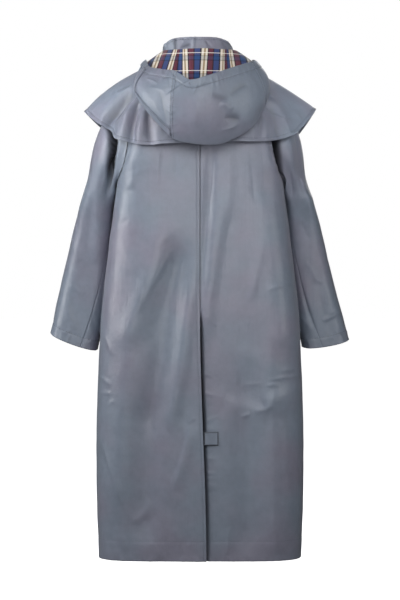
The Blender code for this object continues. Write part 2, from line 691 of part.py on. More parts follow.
def make_pockets(finish):
    rows = steps(up_at(WELT_FOOT), up_at(WELT_TOP), 5)
    on_body = moved_out(body, SEAM_GAP + CLOTH)
    step = 1 / PANEL_COLUMNS
    seam, beside = body(np.array([1.0, 1.0 + step]), np.full(2, up_at(WELT_TOP)))
    half = step * WELT_HALF_WIDTH / np.linalg.norm(beside - seam)
    for side, name in ((-1.0, "pocket_welt_left"), (1.0, "pocket_welt_right")):
        wall(name, on_body, steps(side - half, side + half, 4), rows, finish)


def make_sleeves(finish):
    around = steps(SLEEVE_SEAM, 1 - SLEEVE_SEAM, 2 * YOKE_ROWS)
    head = steps(SLEEVE_HEAD, 1.0, SLEEVE_HEAD_ROWS)
    along = np.concatenate([steps(0.0, SLEEVE_HEAD, SLEEVE_ARM_ROWS), head[1:]])
    for hang in SLEEVE_HANGS:
        wall(hang.name, sleeve(hang), around, along, finish, seam_axis=ACROSS)


def make_cape_and_collar(finish):
    front = CAPE_HEM[-1].angle
    wall("cape", cape, steps(-front, front, CAPE_COLUMNS), steps(0.0, 1.0, CAPE_ROWS), finish)
    angles = steps(-COLLAR_FRONT_ANGLE, COLLAR_FRONT_ANGLE, COLLAR_COLUMNS)
    wall("collar", collar, angles, steps(0.0, 1.0, COLLAR_ROWS), finish)


def make_hood(finish, lining):
    rows = steps(0.0, 1.0, HOOD_ROWS)
    for panel in HOOD_PANELS:
        angles = steps(panel.start + HOOD_SEAM_DEGREES, panel.end - HOOD_SEAM_DEGREES, panel.columns)
        wall(panel.name, hood, angles, rows, finish)
    wall("hood_lining", hood_lining, steps(-HOOD_END, HOOD_END, LINING_COLUMNS), rows, lining, LINING_CLOTH)
    on_hood = moved_out(hood, HOOD_TRIM_OUT)
    wall("hood_side_band", on_hood, steps(*HOOD_BAND_ANGLES, 7), steps(*HOOD_BAND_RUN, 2), finish)
    wall("hood_turn_back", on_hood, steps(*TURN_BACK_ANGLES, 4), steps(*TURN_BACK_RUN, 5), finish)


def main():
    for leftover in list(bpy.data.objects):
        bpy.data.objects.remove(leftover, do_unlink=True)
    coated = material("coated_cloth", (0.23, 0.25, 0.30), 0.45)
    check = material("check_lining", (0.20, 0.12, 0.18), 0.85)
    metal = material("press_stud_metal", (0.30, 0.31, 0.34), 0.35, 1.0)
    make_body(coated)
    make_vent(coated)
    make_front_closure(coated, metal)
    make_pockets(coated)
    make_sleeves(coated)
    make_cape_and_collar(coated)
    make_hood(coated, check)


main()
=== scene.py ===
"""The looks of a long raincoat with a stand collar, a shoulder cape and a hood let down on the back.

Lengths are metres unless a table says millimetres. +Z is up and the wearer faces +Y, so the back looks
towards -Y and the camera. Each piece of cloth is a thin shell on a smooth surface close to that of the
solid of the same name, with its creases, puckers, hems and stitching added.
"""

from collections import namedtuple

import bpy
import numpy as np
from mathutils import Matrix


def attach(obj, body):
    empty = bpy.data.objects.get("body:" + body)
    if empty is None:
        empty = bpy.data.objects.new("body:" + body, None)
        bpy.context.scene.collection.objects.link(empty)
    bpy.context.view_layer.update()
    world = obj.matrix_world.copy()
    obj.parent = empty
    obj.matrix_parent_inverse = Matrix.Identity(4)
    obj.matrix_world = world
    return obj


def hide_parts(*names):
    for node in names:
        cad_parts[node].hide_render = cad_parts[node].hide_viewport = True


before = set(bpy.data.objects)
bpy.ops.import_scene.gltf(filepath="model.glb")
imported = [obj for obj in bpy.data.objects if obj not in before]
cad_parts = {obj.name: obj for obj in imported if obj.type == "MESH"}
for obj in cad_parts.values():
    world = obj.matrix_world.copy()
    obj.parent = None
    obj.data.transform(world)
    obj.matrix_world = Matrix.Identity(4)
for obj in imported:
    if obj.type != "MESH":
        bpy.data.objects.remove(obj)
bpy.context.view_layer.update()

MM = 0.001

# Camera: level with the middle of the coat and straight behind the wearer
CAMERA_PLACE = (0.0, -4.5, -0.603)
SENSOR_MM = 36.0
LENS_MM = 107.7

# Cloth: its thickness, the gap between two layers, and how deep one piece lies under another at a lap
CLOTH = 0.0015
LINING_CLOTH = 0.0012
SEAM_GAP = 0.0003
UNDER_LAP = 1.2 * CLOTH

# Seams and laps, in shares of a piece's way round: half the gap of a seam, and how far a piece runs on
# under the next at the sleeve's seam, the centre back and the sides
BODY_SEAM = 0.0006
SLEEVE_LAP = 0.010
BACK_LAP = 0.006
SIDE_LAP = 0.008
# Where the laps end: the right back comes level within this distance of the middle, and the side laps die
# away below the underarm, while the front takes up the back's creases over this share of its width
BACK_LAP_LEVEL = 0.004
SIDE_LAP_FADE = 0.04
SIDE_BLEND = 0.12
NO_LIMITS = (-1e3, 1e3, -1e3, 1e3)

# Heights from the nape
HEM = -1.236
UNDERARM = -0.310
VENT_TOP = -0.620
FRONT_NECK_DROP = 0.062

# Neck seam, an egg shape round the origin
NECK_HALF_WIDTH = 0.090
NECK_BACK = 0.070
NECK_FRONT = 0.080
NECK_SIDE_RISE = 0.004
SHOULDER_NECK_ANGLE = 80.0

# Armhole on the right side
SHOULDER_POINT = np.array([0.195, 0.0, -0.085])
ARMHOLE_FRONT = 0.082
ARMHOLE_BACK = 0.076
ARMHOLE_INSET = 0.026
ARMHOLE_GAP = 0.0011

# Share of the half width that the neck takes of the top edge, before the shoulder seam
NECK_SHARE = 0.45

# Body outline: the sections are rounded boxes of these powers, squarer at the back, with the side seam just
# behind the widest point
FRONT_POWER = 3.0
BACK_POWER = 4.6
# The bend at underarm height is softened away from the side seam: a mean of rows above and below, each with
# its place in the window and its part of the whole
UNDERARM_SOFTNESS = 0.22
UNDERARM_REACH = 0.45
SOFTENING = ((-1.0, 0.12), (-0.5, 0.23), (0.0, 0.30), (0.5, 0.23), (1.0, 0.12))
SIDE_SEAM_TURN = 8.0

Section = namedtuple("Section", "height half_width back front")
BODY_SECTIONS = (
    Section(HEM, 0.250, 0.160, 0.150),
    Section(-1.150, 0.254, 0.163, 0.152),
    Section(-0.800, 0.253, 0.160, 0.152),
    Section(-0.668, 0.2465, 0.155, 0.150),
    Section(-0.593, 0.2405, 0.151, 0.149),
    Section(-0.480, 0.2275, 0.143, 0.147),
    Section(UNDERARM, 0.2055, 0.128, 0.140),
)

CentreLine = namedtuple("CentreLine", "height depth")
CENTRE_BACK = (
    CentreLine(UNDERARM, 0.128),
    CentreLine(-0.200, 0.124),
    CentreLine(-0.090, 0.106),
    CentreLine(0.0, NECK_BACK),
)
CENTRE_FRONT = (
    CentreLine(UNDERARM, 0.140),
    CentreLine(-0.200, 0.132),
    CentreLine(-0.110, 0.106),
    CentreLine(-FRONT_NECK_DROP, NECK_FRONT),
)

# Soft folds of the body: a line from its top to its foot, how wide, and how far out (in if negative). Their
# ends die away over a share of their length
Fold = namedtuple("Fold", "face top_x top_z foot_x foot_z width depth")
BACK, FRONT = -1, 1
FOLD_END = 0.25
BODY_FOLDS = (
    Fold(BACK, 0.026, -0.235, 0.004, -0.58, 0.012, -0.0045),
    Fold(BACK, 0.054, -0.36, 0.014, -0.68, 0.020, 0.0045),
    Fold(BACK, -0.088, -0.43, -0.178, -0.70, 0.030, 0.007),
    Fold(BACK, -0.172, -0.66, -0.214, -1.10, 0.034, 0.006),
    Fold(BACK, -0.046, -0.47, -0.122, -0.90, 0.030, -0.010),
    Fold(BACK, -0.118, -0.86, -0.134, -1.17, 0.034, -0.009),
    Fold(BACK, -0.022, -0.58, -0.066, -0.90, 0.020, 0.006),
    Fold(BACK, 0.172, -0.36, 0.214, -0.72, 0.045, 0.010),
    Fold(BACK, 0.110, -0.78, 0.118, -1.20, 0.036, -0.006),
    Fold(BACK, 0.180, -0.72, 0.190, -1.20, 0.034, 0.006),
    Fold(FRONT, -0.120, -0.40, -0.150, -1.18, 0.036, -0.009),
    Fold(FRONT, 0.110, -0.44, 0.140, -1.20, 0.038, -0.009),
    Fold(FRONT, -0.075, -0.70, -0.080, -1.22, 0.030, 0.005),
    Fold(FRONT, 0.070, -0.66, 0.078, -1.20, 0.030, 0.005),
)

# Centre back vent: the left panel stands out and crosses the middle as it falls, the right one sinks
VENT_LIFT = 0.004
VENT_SINK = 0.003
VENT_SPREAD = 0.045
VENT_FADE = 0.10
VENT_CROSSING = 0.017
VENT_UNDERLAP_WIDTH = 0.055
VENT_UNDERLAP_IN = 0.0036
VENT_UNDERLAP_RISE = 0.004
VENT_UNDERLAP_GAP = 0.002

# How far the right panel falls away beside the vent's edge, by height
VentGap = namedtuple("VentGap", "height depth")
VENT_GAP = (
    VentGap(HEM, 0.004),
    VentGap(-0.96, 0.006),
    VentGap(-0.90, 0.013),
    VentGap(-0.68, 0.012),
    VentGap(VENT_TOP, 0.0),
)
VENT_GAP_WIDTH = 0.0045
# The change from seam to vent, and where the right panel's edge puckers
VENT_BLEND = 0.02
VENT_PUCKER_TOP = VENT_TOP - 0.05
VENT_PUCKER_FADE = 0.06
VENT_PUCKER_FOOT = HEM + 0.12

# Vent tab
TAB_HEIGHT = -0.938
TAB_WIDTH = 0.034
TAB_DROP = 0.033
TAB_LIFT = 0.0045

# Right sleeve, cuff to armhole: the ring's outer and inner ends, its middle in Y, how far its outer end
# lies forward of the middle, and its half depths
Ring = namedtuple("Ring", "along outer_x outer_z inner_x inner_z middle_y lean front back")
SLEEVE_RINGS = (
    Ring(0.00, 0.3723, -0.6860, 0.2600, -0.7305, 0.060, 0.002, 0.052, 0.048),
    Ring(0.20, 0.3560, -0.6030, 0.2420, -0.6420, 0.068, 0.004, 0.056, 0.052),
    Ring(0.42, 0.3320, -0.5020, 0.2270, -0.5320, 0.070, 0.004, 0.062, 0.056),
    Ring(0.64, 0.3067, -0.4010, 0.2170, -0.4300, 0.060, 0.002, 0.070, 0.060),
    Ring(0.82, 0.2777, -0.3000, 0.2145, -0.3560, 0.030, 0.000, 0.078, 0.068),
    Ring(0.92, 0.2520, -0.1850, 0.2145, -0.3260, 0.000, 0.000, 0.081, 0.076),
)
# The sleeves hang a little to the left: how far each one's outer edge, and its cuff's two ends, move
SleeveHang = namedtuple("SleeveHang", "name side outer_x cuff_outer_x cuff_outer_z cuff_inner_z")
SLEEVE_HANGS = (
    SleeveHang("sleeve_left", -1, 0.007, 0.000, 0.000, 0.002),
    SleeveHang("sleeve_right", 1, -0.006, 0.011, -0.016, 0.009),
)
HANG_FADE = 0.25
# How much squarer than an ellipse a ring is, down from just below the armhole
SLEEVE_SQUARENESS = 0.55
SQUARE_FADE = 0.30
# How far up the cuff's own slant reaches, and how far its back drops and its front rises
CUFF_REACH = 0.30
CUFF_BACK_DROP = 0.009
# The sleeve's seam runs from the underarm to the back of the cuff
SeamLine = namedtuple("SeamLine", "along turn")
SLEEVE_SEAM_LINE = (SeamLine(0.0, 256.0), SeamLine(0.45, 226.0), SeamLine(1.0, 180.0))
# The hollow that the sleeve makes behind the armhole
CLEFT_TURN = 246.0
CLEFT_SPREAD = 20.0
CLEFT_DEPTH = 0.012
CLEFT_ALONG = 0.90
CLEFT_REACH = 0.075
CLEFT_END = 0.10

# The sleeve's cloth is tucked in behind the back of the armhole: how far from the seam at the top and foot
# of the tuck, half its width and its depth
Tuck = namedtuple("Tuck", "top_away foot_away width depth")
TUCKS = {
    "sleeve_left": Tuck(0.060, 0.066, 0.0110, 0.036),
    "sleeve_right": Tuck(0.013, 0.010, 0.0140, 0.036),
}
# Heights of a tuck's top and foot; in shares of the way down, how far its line runs on past them, where it
# ends and over what run it dies away; and how soon it starts beside the armhole's seam
TUCK_TOP = -0.215
TUCK_FOOT = -0.318
TUCK_RUN = (-0.6, 1.5)
TUCK_END = 1.2
TUCK_FADE = 0.7
TUCK_FROM_SEAM = 0.004
# Below the armhole the sleeve's cloth touches the body
UNDERARM_TOUCH = 0.008
UNDERARM_TOUCH_ALONG = 0.88
UNDERARM_TOUCH_REACH = 0.07
# About how far it is round a cuff and along a sleeve, and how close to its seam the sleeve lies smooth
CUFF_GIRTH = 0.34
SLEEVE_LENGTH = 0.6
SLEEVE_SEAM_START = 0.03
SLEEVE_SEAM_SMOOTH = 0.008

# Pocket welts on the side seams, and how far round the body their width is worked out from
WELT_TOP = -0.556
WELT_FOOT = -0.682
WELT_HALF_WIDTH = 0.012
WELT_PROBE = 1 / 12

# Front placket, which runs to just under the neck, and how far from the middle the front's creases start
PLACKET_TOP = 1.9
PLACKET_OUT = 0.0024
PLACKET_HALF = 1 / 12
FRONT_SMOOTH = 0.028
FRONT_SMOOTH_FADE = 0.02

# Stand collar
COLLAR_HEIGHT = 0.047
COLLAR_FRONT_ANGLE = 166.0
COLLAR_TOP_INSET = 0.004
COLLAR_LEAN = -0.006
COLLAR_BASE_RISE = 0.0013
COLLAR_SIDE_DIP = 0.011

# Shoulder cape: where its hem lies, by the angle of the neck seam above it (0 is the centre back)
CapeHem = namedtuple("CapeHem", "angle x y z bulge")
CAPE_HEM = (
    CapeHem(-160.0, -0.050, 0.164, -0.285, 0.020),
    CapeHem(-135.0, -0.150, 0.152, -0.262, 0.022),
    CapeHem(-110.0, -0.238, 0.095, -0.180, 0.020),
    CapeHem(-90.0, -0.291, 0.010, -0.130, 0.017),
    CapeHem(-75.0, -0.264, -0.052, -0.158, 0.018),
    CapeHem(-60.0, -0.224, -0.098, -0.196, 0.020),
    CapeHem(-40.0, -0.152, -0.142, -0.225, 0.022),
    CapeHem(-20.0, -0.075, -0.158, -0.224, 0.022),
    CapeHem(0.0, 0.000, -0.161, -0.222, 0.022),
    CapeHem(20.0, 0.075, -0.158, -0.219, 0.022),
    CapeHem(40.0, 0.146, -0.143, -0.218, 0.022),
    CapeHem(60.0, 0.212, -0.100, -0.205, 0.016),
    CapeHem(75.0, 0.260, -0.052, -0.168, 0.009),
    CapeHem(90.0, 0.292, 0.010, -0.124, 0.006),
    CapeHem(110.0, 0.240, 0.095, -0.198, 0.014),
    CapeHem(135.0, 0.150, 0.152, -0.262, 0.022),
    CapeHem(160.0, 0.050, 0.164, -0.285, 0.020),
)
# Its folds: where, half their width in degrees, and how far out (in if negative) at the hem
CapeFold = namedtuple("CapeFold", "angle width depth")
CAPE_FOLDS = (
    CapeFold(-118.0, 9.0, -0.010),
    CapeFold(-64.0, 6.0, -0.017),
    CapeFold(-52.0, 4.0, 0.008),
    CapeFold(-45.0, 3.5, -0.010),
    CapeFold(-39.0, 3.0, 0.006),
    CapeFold(-32.0, 3.5, -0.007),
    CapeFold(54.0, 5.5, -0.010),
    CapeFold(64.0, 5.0, 0.007),
    CapeFold(118.0, 9.0, -0.010),
)
# Stitched darts of the cape, from neck to hem
CapeDart = namedtuple("CapeDart", "angle0 up0 angle1 up1")
CAPE_DARTS = (CapeDart(-67.0, 0.53, -75.0, 0.375), CapeDart(53.5, 0.355, 64.0, 0.175))
# How far its neck edge stands off the neck seam, and the power by which its folds deepen towards the hem
CAPE_NECK_OUT = 0.0045
CAPE_NECK_RISE = 0.003
CAPE_FOLD_POWER = 1.5

# Hood let down on the back: the fold at its lowest edge and the rim of its face opening, by neck angle
HoodStation = namedtuple("HoodStation", "angle fold_x fold_y fold_z rim_x rim_y rim_z bulge")
HOOD_STATIONS = (
    HoodStation(-150.0, -0.070, 0.112, -0.068, -0.056, 0.102, -0.048, 0.003),
    HoodStation(-115.0, -0.128, 0.050, -0.031, -0.123, 0.049, -0.017, 0.003),
    HoodStation(-90.0, -0.140, -0.015, -0.014, -0.134, -0.020, -0.004, 0.003),
    HoodStation(-68.0, -0.156, -0.090, -0.062, -0.130, -0.080, -0.018, 0.008),
    HoodStation(-52.0, -0.154, -0.142, -0.106, -0.120, -0.128, -0.036, 0.012),
    HoodStation(-38.0, -0.118, -0.176, -0.158, -0.088, -0.164, -0.046, 0.016),
    HoodStation(-22.0, -0.064, -0.190, -0.212, -0.056, -0.200, -0.056, 0.018),
    HoodStation(-8.0, -0.026, -0.194, -0.226, -0.020, -0.226, -0.079, 0.018),
    HoodStation(6.0, 0.018, -0.195, -0.231, 0.014, -0.232, -0.070, 0.018),
    HoodStation(22.0, 0.066, -0.188, -0.223, 0.056, -0.222, -0.055, 0.018),
    HoodStation(36.0, 0.128, -0.168, -0.184, 0.098, -0.192, -0.038, 0.018),
    HoodStation(52.0, 0.168, -0.126, -0.104, 0.134, -0.134, -0.021, 0.014),
    HoodStation(68.0, 0.158, -0.080, -0.054, 0.136, -0.076, -0.016, 0.008),
    HoodStation(90.0, 0.139, -0.015, -0.014, 0.131, -0.020, -0.004, 0.003),
    HoodStation(115.0, 0.126, 0.050, -0.031, 0.119, 0.049, -0.017, 0.003),
    HoodStation(150.0, 0.070, 0.112, -0.068, 0.056, 0.102, -0.048, 0.003),
)
HOOD_LEFT_SEAM = -22.0
HOOD_RIGHT_SEAM = 46.0
HOOD_END = HOOD_STATIONS[-1].angle
HoodPanel = namedtuple("HoodPanel", "name start end columns")
HOOD_PANELS = (
    HoodPanel("hood_left", -HOOD_END, HOOD_LEFT_SEAM, 150),
    HoodPanel("hood_centre", HOOD_LEFT_SEAM, HOOD_RIGHT_SEAM, 100),
    HoodPanel("hood_right", HOOD_RIGHT_SEAM, HOOD_END, 100),
)
# How much fuller the hood's wall is low down
HOOD_SAG = 0.25
# The lining's neck edge: how far out and up it lies, and more at the nape and sides; then how far inside the
# fold the lining starts, and how full it is
HOOD_NECK_OUT = 0.0045
HOOD_NECK_RISE = 0.0085
HOOD_NAPE_RISE = 0.010
HOOD_SIDE_RISE = 0.016
HOOD_SIDE_OUT = 0.003
HOOD_LINING_IN = 0.004
HOOD_LINING_BULGE = 0.62
# Side band and turn-back, which lie on the hood: how far out, and from where to where
HOOD_TRIM_OUT = 0.0026
HOOD_BAND_ANGLES = (-52.0, -23.0)
HOOD_BAND_RUN = (0.01, 0.13)
TURN_BACK_ANGLES = (-63.0, -54.0)
TURN_BACK_RUN = (0.04, 0.86)

# Creases, in millimetres: a line across the back or front from start to end, how far its middle bows to
# the right of its run, half its width, how far out it stands (in if negative), and how much wider its
# right side is than its left
Crease = namedtuple("Crease", "x0 z0 x1 z1 bend width depth lean")
# Narrow creases come to an edge and wide ones are round: the power of their profile, by width
SHARP_WIDTHS_MM = (4.0, 14.0)
SHARP_POWERS = (1.2, 2.0)
# Creases keep their depth for most of their length: the power of their rise from an end
CREASE_END_POWER = 0.7
# How soon a crease of one face dies away where the cloth turns to the other
FACING_SLOPE = 1.5
BACK_LEFT_CREASES = (
    Crease(-64, -470, -164, -660, -4, 16, 3.4, -0.4),
    Crease(-48, -476, -128, -730, 0, 22, -5.0, 0.0),
    Crease(-16, -590, -44, -820, 0, 24, 1.6, 0.0),
    Crease(-34, -797, -50, -910, 0, 22, -2.0, 0.0),
    Crease(-20, -900, -66, -1065, 4, 14, 3.6, 0.4),
    Crease(-236, -684, -214, -742, 2, 4.5, 2.4, 0.3),
    Crease(-246, -788, -216, -812, 0, 4.5, 2.0, 0.2),
    Crease(-245, -830, -213, -833, 2, 4.0, 1.7, 0.0),
    Crease(-224, -862, -208, -844, 0, 4.0, 1.4, 0.0),
    Crease(-245, -938, -192, -1106, 3, 5.0, 3.0, 0.5),
    Crease(-118, -1084, -166, -1146, 8, 13, 2.6, 0.0),
    Crease(-200, -424, -172, -402, 0, 6, -1.2, 0.0),
    Crease(-186, -336, -138, -264, -4, 12, 2.0, 0.2),
    Crease(-190, -466, -148, -546, 3, 13, 1.8, 0.0),
    Crease(-168, -243, -165, -336, 0, 8, 1.5, 0.0),
    Crease(-100, -240, -104, -336, 0, 7, 1.3, 0.2),
    Crease(-60, -240, -57, -316, 0, 6, -1.0, 0.0),
    Crease(-128, -560, -150, -650, 2, 7, -1.4, 0.0),
    Crease(-30, -900, -12, -886, 0, 5, 1.0, 0.0),
    Crease(-200, -1150, -180, -1214, 0, 8, 1.4, 0.0),
    Crease(-60, -1150, -50, -1220, 0, 9, 1.2, 0.0),
)
BACK_RIGHT_CREASES = (
    Crease(35, -236, 14, -430, 2, 7, -2.2, 0.2),
    Crease(58, -846, 170, -878, -6, 28, 5.0, -0.3),
    Crease(150, -856, 246, -826, 4, 26, 4.5, -0.3),
    Crease(158, -862, 186, -838, 0, 12, 1.4, 0.0),
    Crease(122, -236, 134, -372, 0, 6, -1.6, 0.0),
    Crease(150, -236, 156, -330, 0, 6, 1.4, 0.0),
    Crease(73, -236, 70, -430, 0, 12, 1.4, 0.0),
    Crease(62, -466, 30, -646, 2, 14, -1.4, 0.0),
    Crease(76, -396, 60, -480, 0, 9, -1.4, 0.0),
    Crease(152, -450, 118, -612, 4, 12, 2.0, 0.0),
    Crease(158, -798, 246, -787, 1, 4.0, 1.6, 0.0),
    Crease(102, -808, 150, -806, 0, 4.0, 1.2, 0.0),
    Crease(158, -811, 192, -808, 1, 4.0, 1.6, 0.0),
    Crease(132, -874, 180, -857, -2, 6.0, 2.0, 0.0),
    Crease(97, -885, 122, -880, 0, 4.0, 2.0, 0.0),
    Crease(194, -776, 238, -769, 0, 4.0, 1.4, 0.0),
    Crease(158, -582, 230, -562, 3, 5, 2.0, 0.0),
    Crease(184, -548, 234, -578, 0, 4, -1.0, 0.0),
    Crease(200, -920, 216, -1160, 4, 12, 2.0, 0.0),
    Crease(168, -1112, 192, -1222, 0, 9, 1.6, 0.0),
    Crease(70, -1150, 66, -1222, 0, 8, 1.2, 0.0),
    Crease(14, -640, 40, -668, 0, 6, 1.4, 0.0),
)
FRONT_LEFT_CREASES = (
    Crease(-70, -270, -150, -420, -5, 10, 2.0, 0.2),
    Crease(-160, -560, -120, -760, 4, 12, 2.6, 0.0),
    Crease(-90, -700, -110, -1000, 0, 14, -2.0, 0.0),
    Crease(-240, -700, -205, -760, 2, 4, 2.0, 0.3),
    Crease(-238, -880, -190, -1010, 3, 5, 2.0, 0.4),
    Crease(-150, -1080, -120, -1180, 0, 12, 2.0, 0.0),
)
FRONT_RIGHT_CREASES = (
    Crease(72, -260, 148, -410, 5, 10, 2.0, -0.2),
    Crease(150, -540, 112, -780, -4, 13, 2.4, 0.0),
    Crease(84, -720, 104, -1040, 0, 14, -2.0, 0.0),
    Crease(236, -720, 200, -790, 2, 4, 1.8, 0.3),
    Crease(236, -930, 184, -1060, -3, 5, 2.0, -0.4),
    Crease(140, -1100, 124, -1200, 0, 12, 1.8, 0.0),
)
SLEEVE_LEFT_BACK_CREASES = (
    Crease(-240, -300, -264, -520, 0, 20, 7.0, 0.0),
    Crease(-322, -452, -302, -508, 0, 8, 1.6, 0.0),
    Crease(-273, -632, -264, -676, 0, 7, -2.0, 0.0),
    Crease(-348, -600, -314, -682, 3, 10, 1.6, 0.0),
    Crease(-290, -300, -307, -392, 2, 9, 1.6, 0.0),
    Crease(-252, -270, -262, -430, 0, 8, 1.4, 0.2),
    Crease(-330, -560, -292, -590, 0, 7, 1.2, 0.0),
    Crease(-290, -470, -262, -520, 0, 7, -1.3, 0.0),
)
SLEEVE_RIGHT_BACK_CREASES = (
    Crease(246, -140, 268, -350, 0, 26, -16.0, 0.0),
    Crease(268, -400, 288, -700, 0, 20, 6.0, 0.0),
    Crease(306, -656, 356, -630, -2, 4, 4.0, 0.0),
    Crease(252, -404, 276, -456, 0, 6, -1.5, 0.0),
    Crease(264, -505, 298, -568, 3, 5, 1.8, 0.0),
    Crease(284, -544, 310, -562, 0, 4, 1.6, 0.0),
    Crease(252, -640, 279, -682, 2, 7, 2.0, 0.0),
    Crease(302, -590, 319, -682, 0, 6, -1.5, 0.0),
    Crease(262, -300, 290, -400, 0, 9, 1.6, 0.0),
    Crease(300, -440, 322, -500, 2, 7, 1.4, 0.0),
)
SLEEVE_FRONT_CREASES = (
    Crease(240, -330, 300, -430, 4, 9, 2.2, 0.0),
    Crease(236, -470, 318, -500, -4, 6, 2.2, 0.2),
    Crease(240, -500, 326, -540, -4, 5, 1.8, 0.0),
    Crease(252, -560, 330, -560, 4, 6, -1.8, 0.0),
    Crease(268, -620, 350, -660, 0, 7, 1.6, 0.0),
)
CAPE_BACK_CREASES = (
    Crease(-170, -66, -209, -83, 2, 2.2, -2.2, 0.0),
    Crease(-209, -82, -214, -94, 0, 2.0, -1.6, 0.0),
    Crease(-172, -73, -212, -92, 2, 3.2, 1.4, 0.0),
    Crease(-150, -84, -234, -182, -4, 12, -15.0, -0.3),
    Crease(-172, -108, -196, -220, 2, 9, 6.0, 0.2),
    Crease(-150, -112, -172, -222, 0, 7, -7.0, 0.0),
    Crease(-140, -126, -150, -222, -2, 7, 5.0, 0.2),
    Crease(-128, -136, -121, -222, 0, 7, -6.0, 0.0),
    Crease(-110, -164, -108, -218, 0, 5, 1.6, 0.0),
    Crease(-90, -184, -88, -220, 0, 4, -1.2, 0.0),
    Crease(-240, -90, -272, -130, 2, 8, 1.6, 0.0),
    Crease(158, -124, 211, -156, -2, 2.2, -2.4, 0.0),
    Crease(210, -156, 229, -152, 0, 2.0, -1.8, 0.0),
    Crease(160, -130, 214, -164, -2, 3.2, 1.4, 0.0),
    Crease(170, -118, 192, -220, 2, 8, -7.0, 0.0),
    Crease(156, -112, 141, -220, 0, 8, -6.0, 0.0),
    Crease(202, -150, 224, -212, 0, 8, 5.0, 0.0),
    Crease(233, -128, 256, -168, 0, 7, 1.5, 0.0),
)
CAPE_FRONT_CREASES = (
    Crease(-150, -110, -190, -220, 4, 8, 2.4, 0.0),
    Crease(-90, -140, -104, -268, 0, 8, -2.0, 0.0),
    Crease(140, -100, 186, -216, -4, 8, 2.4, 0.0),
    Crease(84, -140, 100, -268, 0, 8, -2.0, 0.0),
)
HOOD_CREASES = (
    Crease(-88, -38, -87, -60, 0, 2.2, -1.6, 0.0),
    Crease(-74, -46, -55, -77, 2, 2.2, -1.8, 0.0),
    Crease(-130, -68, -102, -83, 2, 4, 2.0, 0.0),
    Crease(-122, -92, -84, -104, 3, 5, 1.4, 0.0),
    Crease(-120, -112, -84, -187, 2, 8, 2.0, 0.0),
    Crease(-98, -88, -77, -187, 0, 6, -1.8, 0.0),
    Crease(28, -114, 70, -122, -4, 7, -2.6, 0.0),
    Crease(70, -117, 118, -84, 4, 8, -2.2, 0.0),
    Crease(50, -130, 78, -151, 0, 9, 3.0, 0.0),
    Crease(58, -168, 98, -170, 0, 9, -3.4, 0.0),
    Crease(48, -198, 88, -184, -2, 4, 2.2, 0.0),
    Crease(118, -64, 146, -118, 3, 9, 1.6, 0.0),
    Crease(134, -176, 152, -126, 0, 7, -1.8, 0.0),
    Crease(0, -110, -14, -190, 0, 12, 1.6, 0.0),
)
COLLAR_CREASES = (
    Crease(-62, 50, -61, 8, 0, 3.0, -5.5, 0.0),
    Crease(-52, 20, -20, 30, 0, 3.5, -4.2, 0.0),
    Crease(-44, 34, -26, 44, 0, 3.5, 2.0, 0.0),
    Crease(-15, 50, -17, 10, 0, 4.0, 3.2, 0.0),
    Crease(12, 40, 31, 16, 0, 3.0, -1.5, 0.0),
    Crease(54, 40, 70, 14, 0, 3.0, -1.5, 0.0),
    Crease(-92, 26, -76, 34, 0, 4.0, 1.4, 0.0),
)
LINING_CREASES = (
    Crease(-53, 12, -51, -52, 0, 4.5, -5.0, 0.0),
    Crease(68, 16, 70, -40, 0, 3.5, -4.0, 0.0),
    Crease(-24, 8, -20, -56, 0, 6.0, 2.0, 0.0),
    Crease(30, 8, 34, -48, 0, 6.0, -1.6, 0.0),
    Crease(-88, 8, -100, -40, 0, 5.0, 2.0, 0.0),
)
# The right rim of the hood folds over the left one along this line; how far beside it the step reaches, and
# the middle and length of its run
RIM_LAP = Crease(-12, -74, -60, -102, 0, 1.4, 6.0, 0.0)
RIM_LAP_REACH_MM = 30.0
RIM_LAP_MIDDLE = 0.4
RIM_LAP_RUN = 1.2
# The hood's left seam runs along a low ridge between its panels
HOOD_RIDGE = 0.006
HOOD_RIDGE_REACH = 0.028

# Puckers along a sewn edge: how far apart, how long they run from it, half their width, and their depth
Pucker = namedtuple("Pucker", "spacing reach width depth seed")
VENT_PUCKERS = Pucker(0.019, 0.026, 0.0042, 0.0022, 3)
BACK_SEAM_PUCKERS = Pucker(0.017, 0.010, 0.0040, 0.0007, 4)
HEM_PUCKERS = Pucker(0.021, 0.018, 0.0050, 0.0018, 5)
CUFF_PUCKERS = Pucker(0.014, 0.016, 0.0036, 0.0020, 6)
CAPE_HEM_PUCKERS = Pucker(0.016, 0.012, 0.0038, 0.0014, 7)
HOOD_RIM_PUCKERS = Pucker(0.013, 0.014, 0.0032, 0.0018, 8)
HOOD_SEAM_PUCKERS = Pucker(0.012, 0.011, 0.0032, 0.0015, 9)
ARMHOLE_PUCKERS = Pucker(0.015, 0.015, 0.0038, 0.0018, 10)
COLLAR_PUCKERS = Pucker(0.012, 0.018, 0.0034, 0.0016, 11)
SLEEVE_SEAM_PUCKERS = Pucker(0.020, 0.010, 0.0045, 0.0007, 12)
# The same puckers with their own seeds, along the stitching of a hem and at the sleeve's head
HEM_STITCH_PUCKERS = HEM_PUCKERS._replace(seed=25)
FRONT_HEM_PUCKERS = HEM_PUCKERS._replace(seed=26)
CUFF_STITCH_PUCKERS = CUFF_PUCKERS._replace(seed=27)
SLEEVE_HEAD_PUCKERS = ARMHOLE_PUCKERS._replace(seed=28)
RIM_STITCH_PUCKERS = HOOD_RIM_PUCKERS._replace(seed=29)
HEM_STITCH_SHARE = 0.5
# How uneven they are: place within the spacing, height and reach in shares, and slant
PUCKER_PLACES = (0.1, 0.9)
PUCKER_HEIGHTS = (-0.6, 1.0)
PUCKER_REACHES = (0.4, 1.3)
PUCKER_SLANT = 0.25
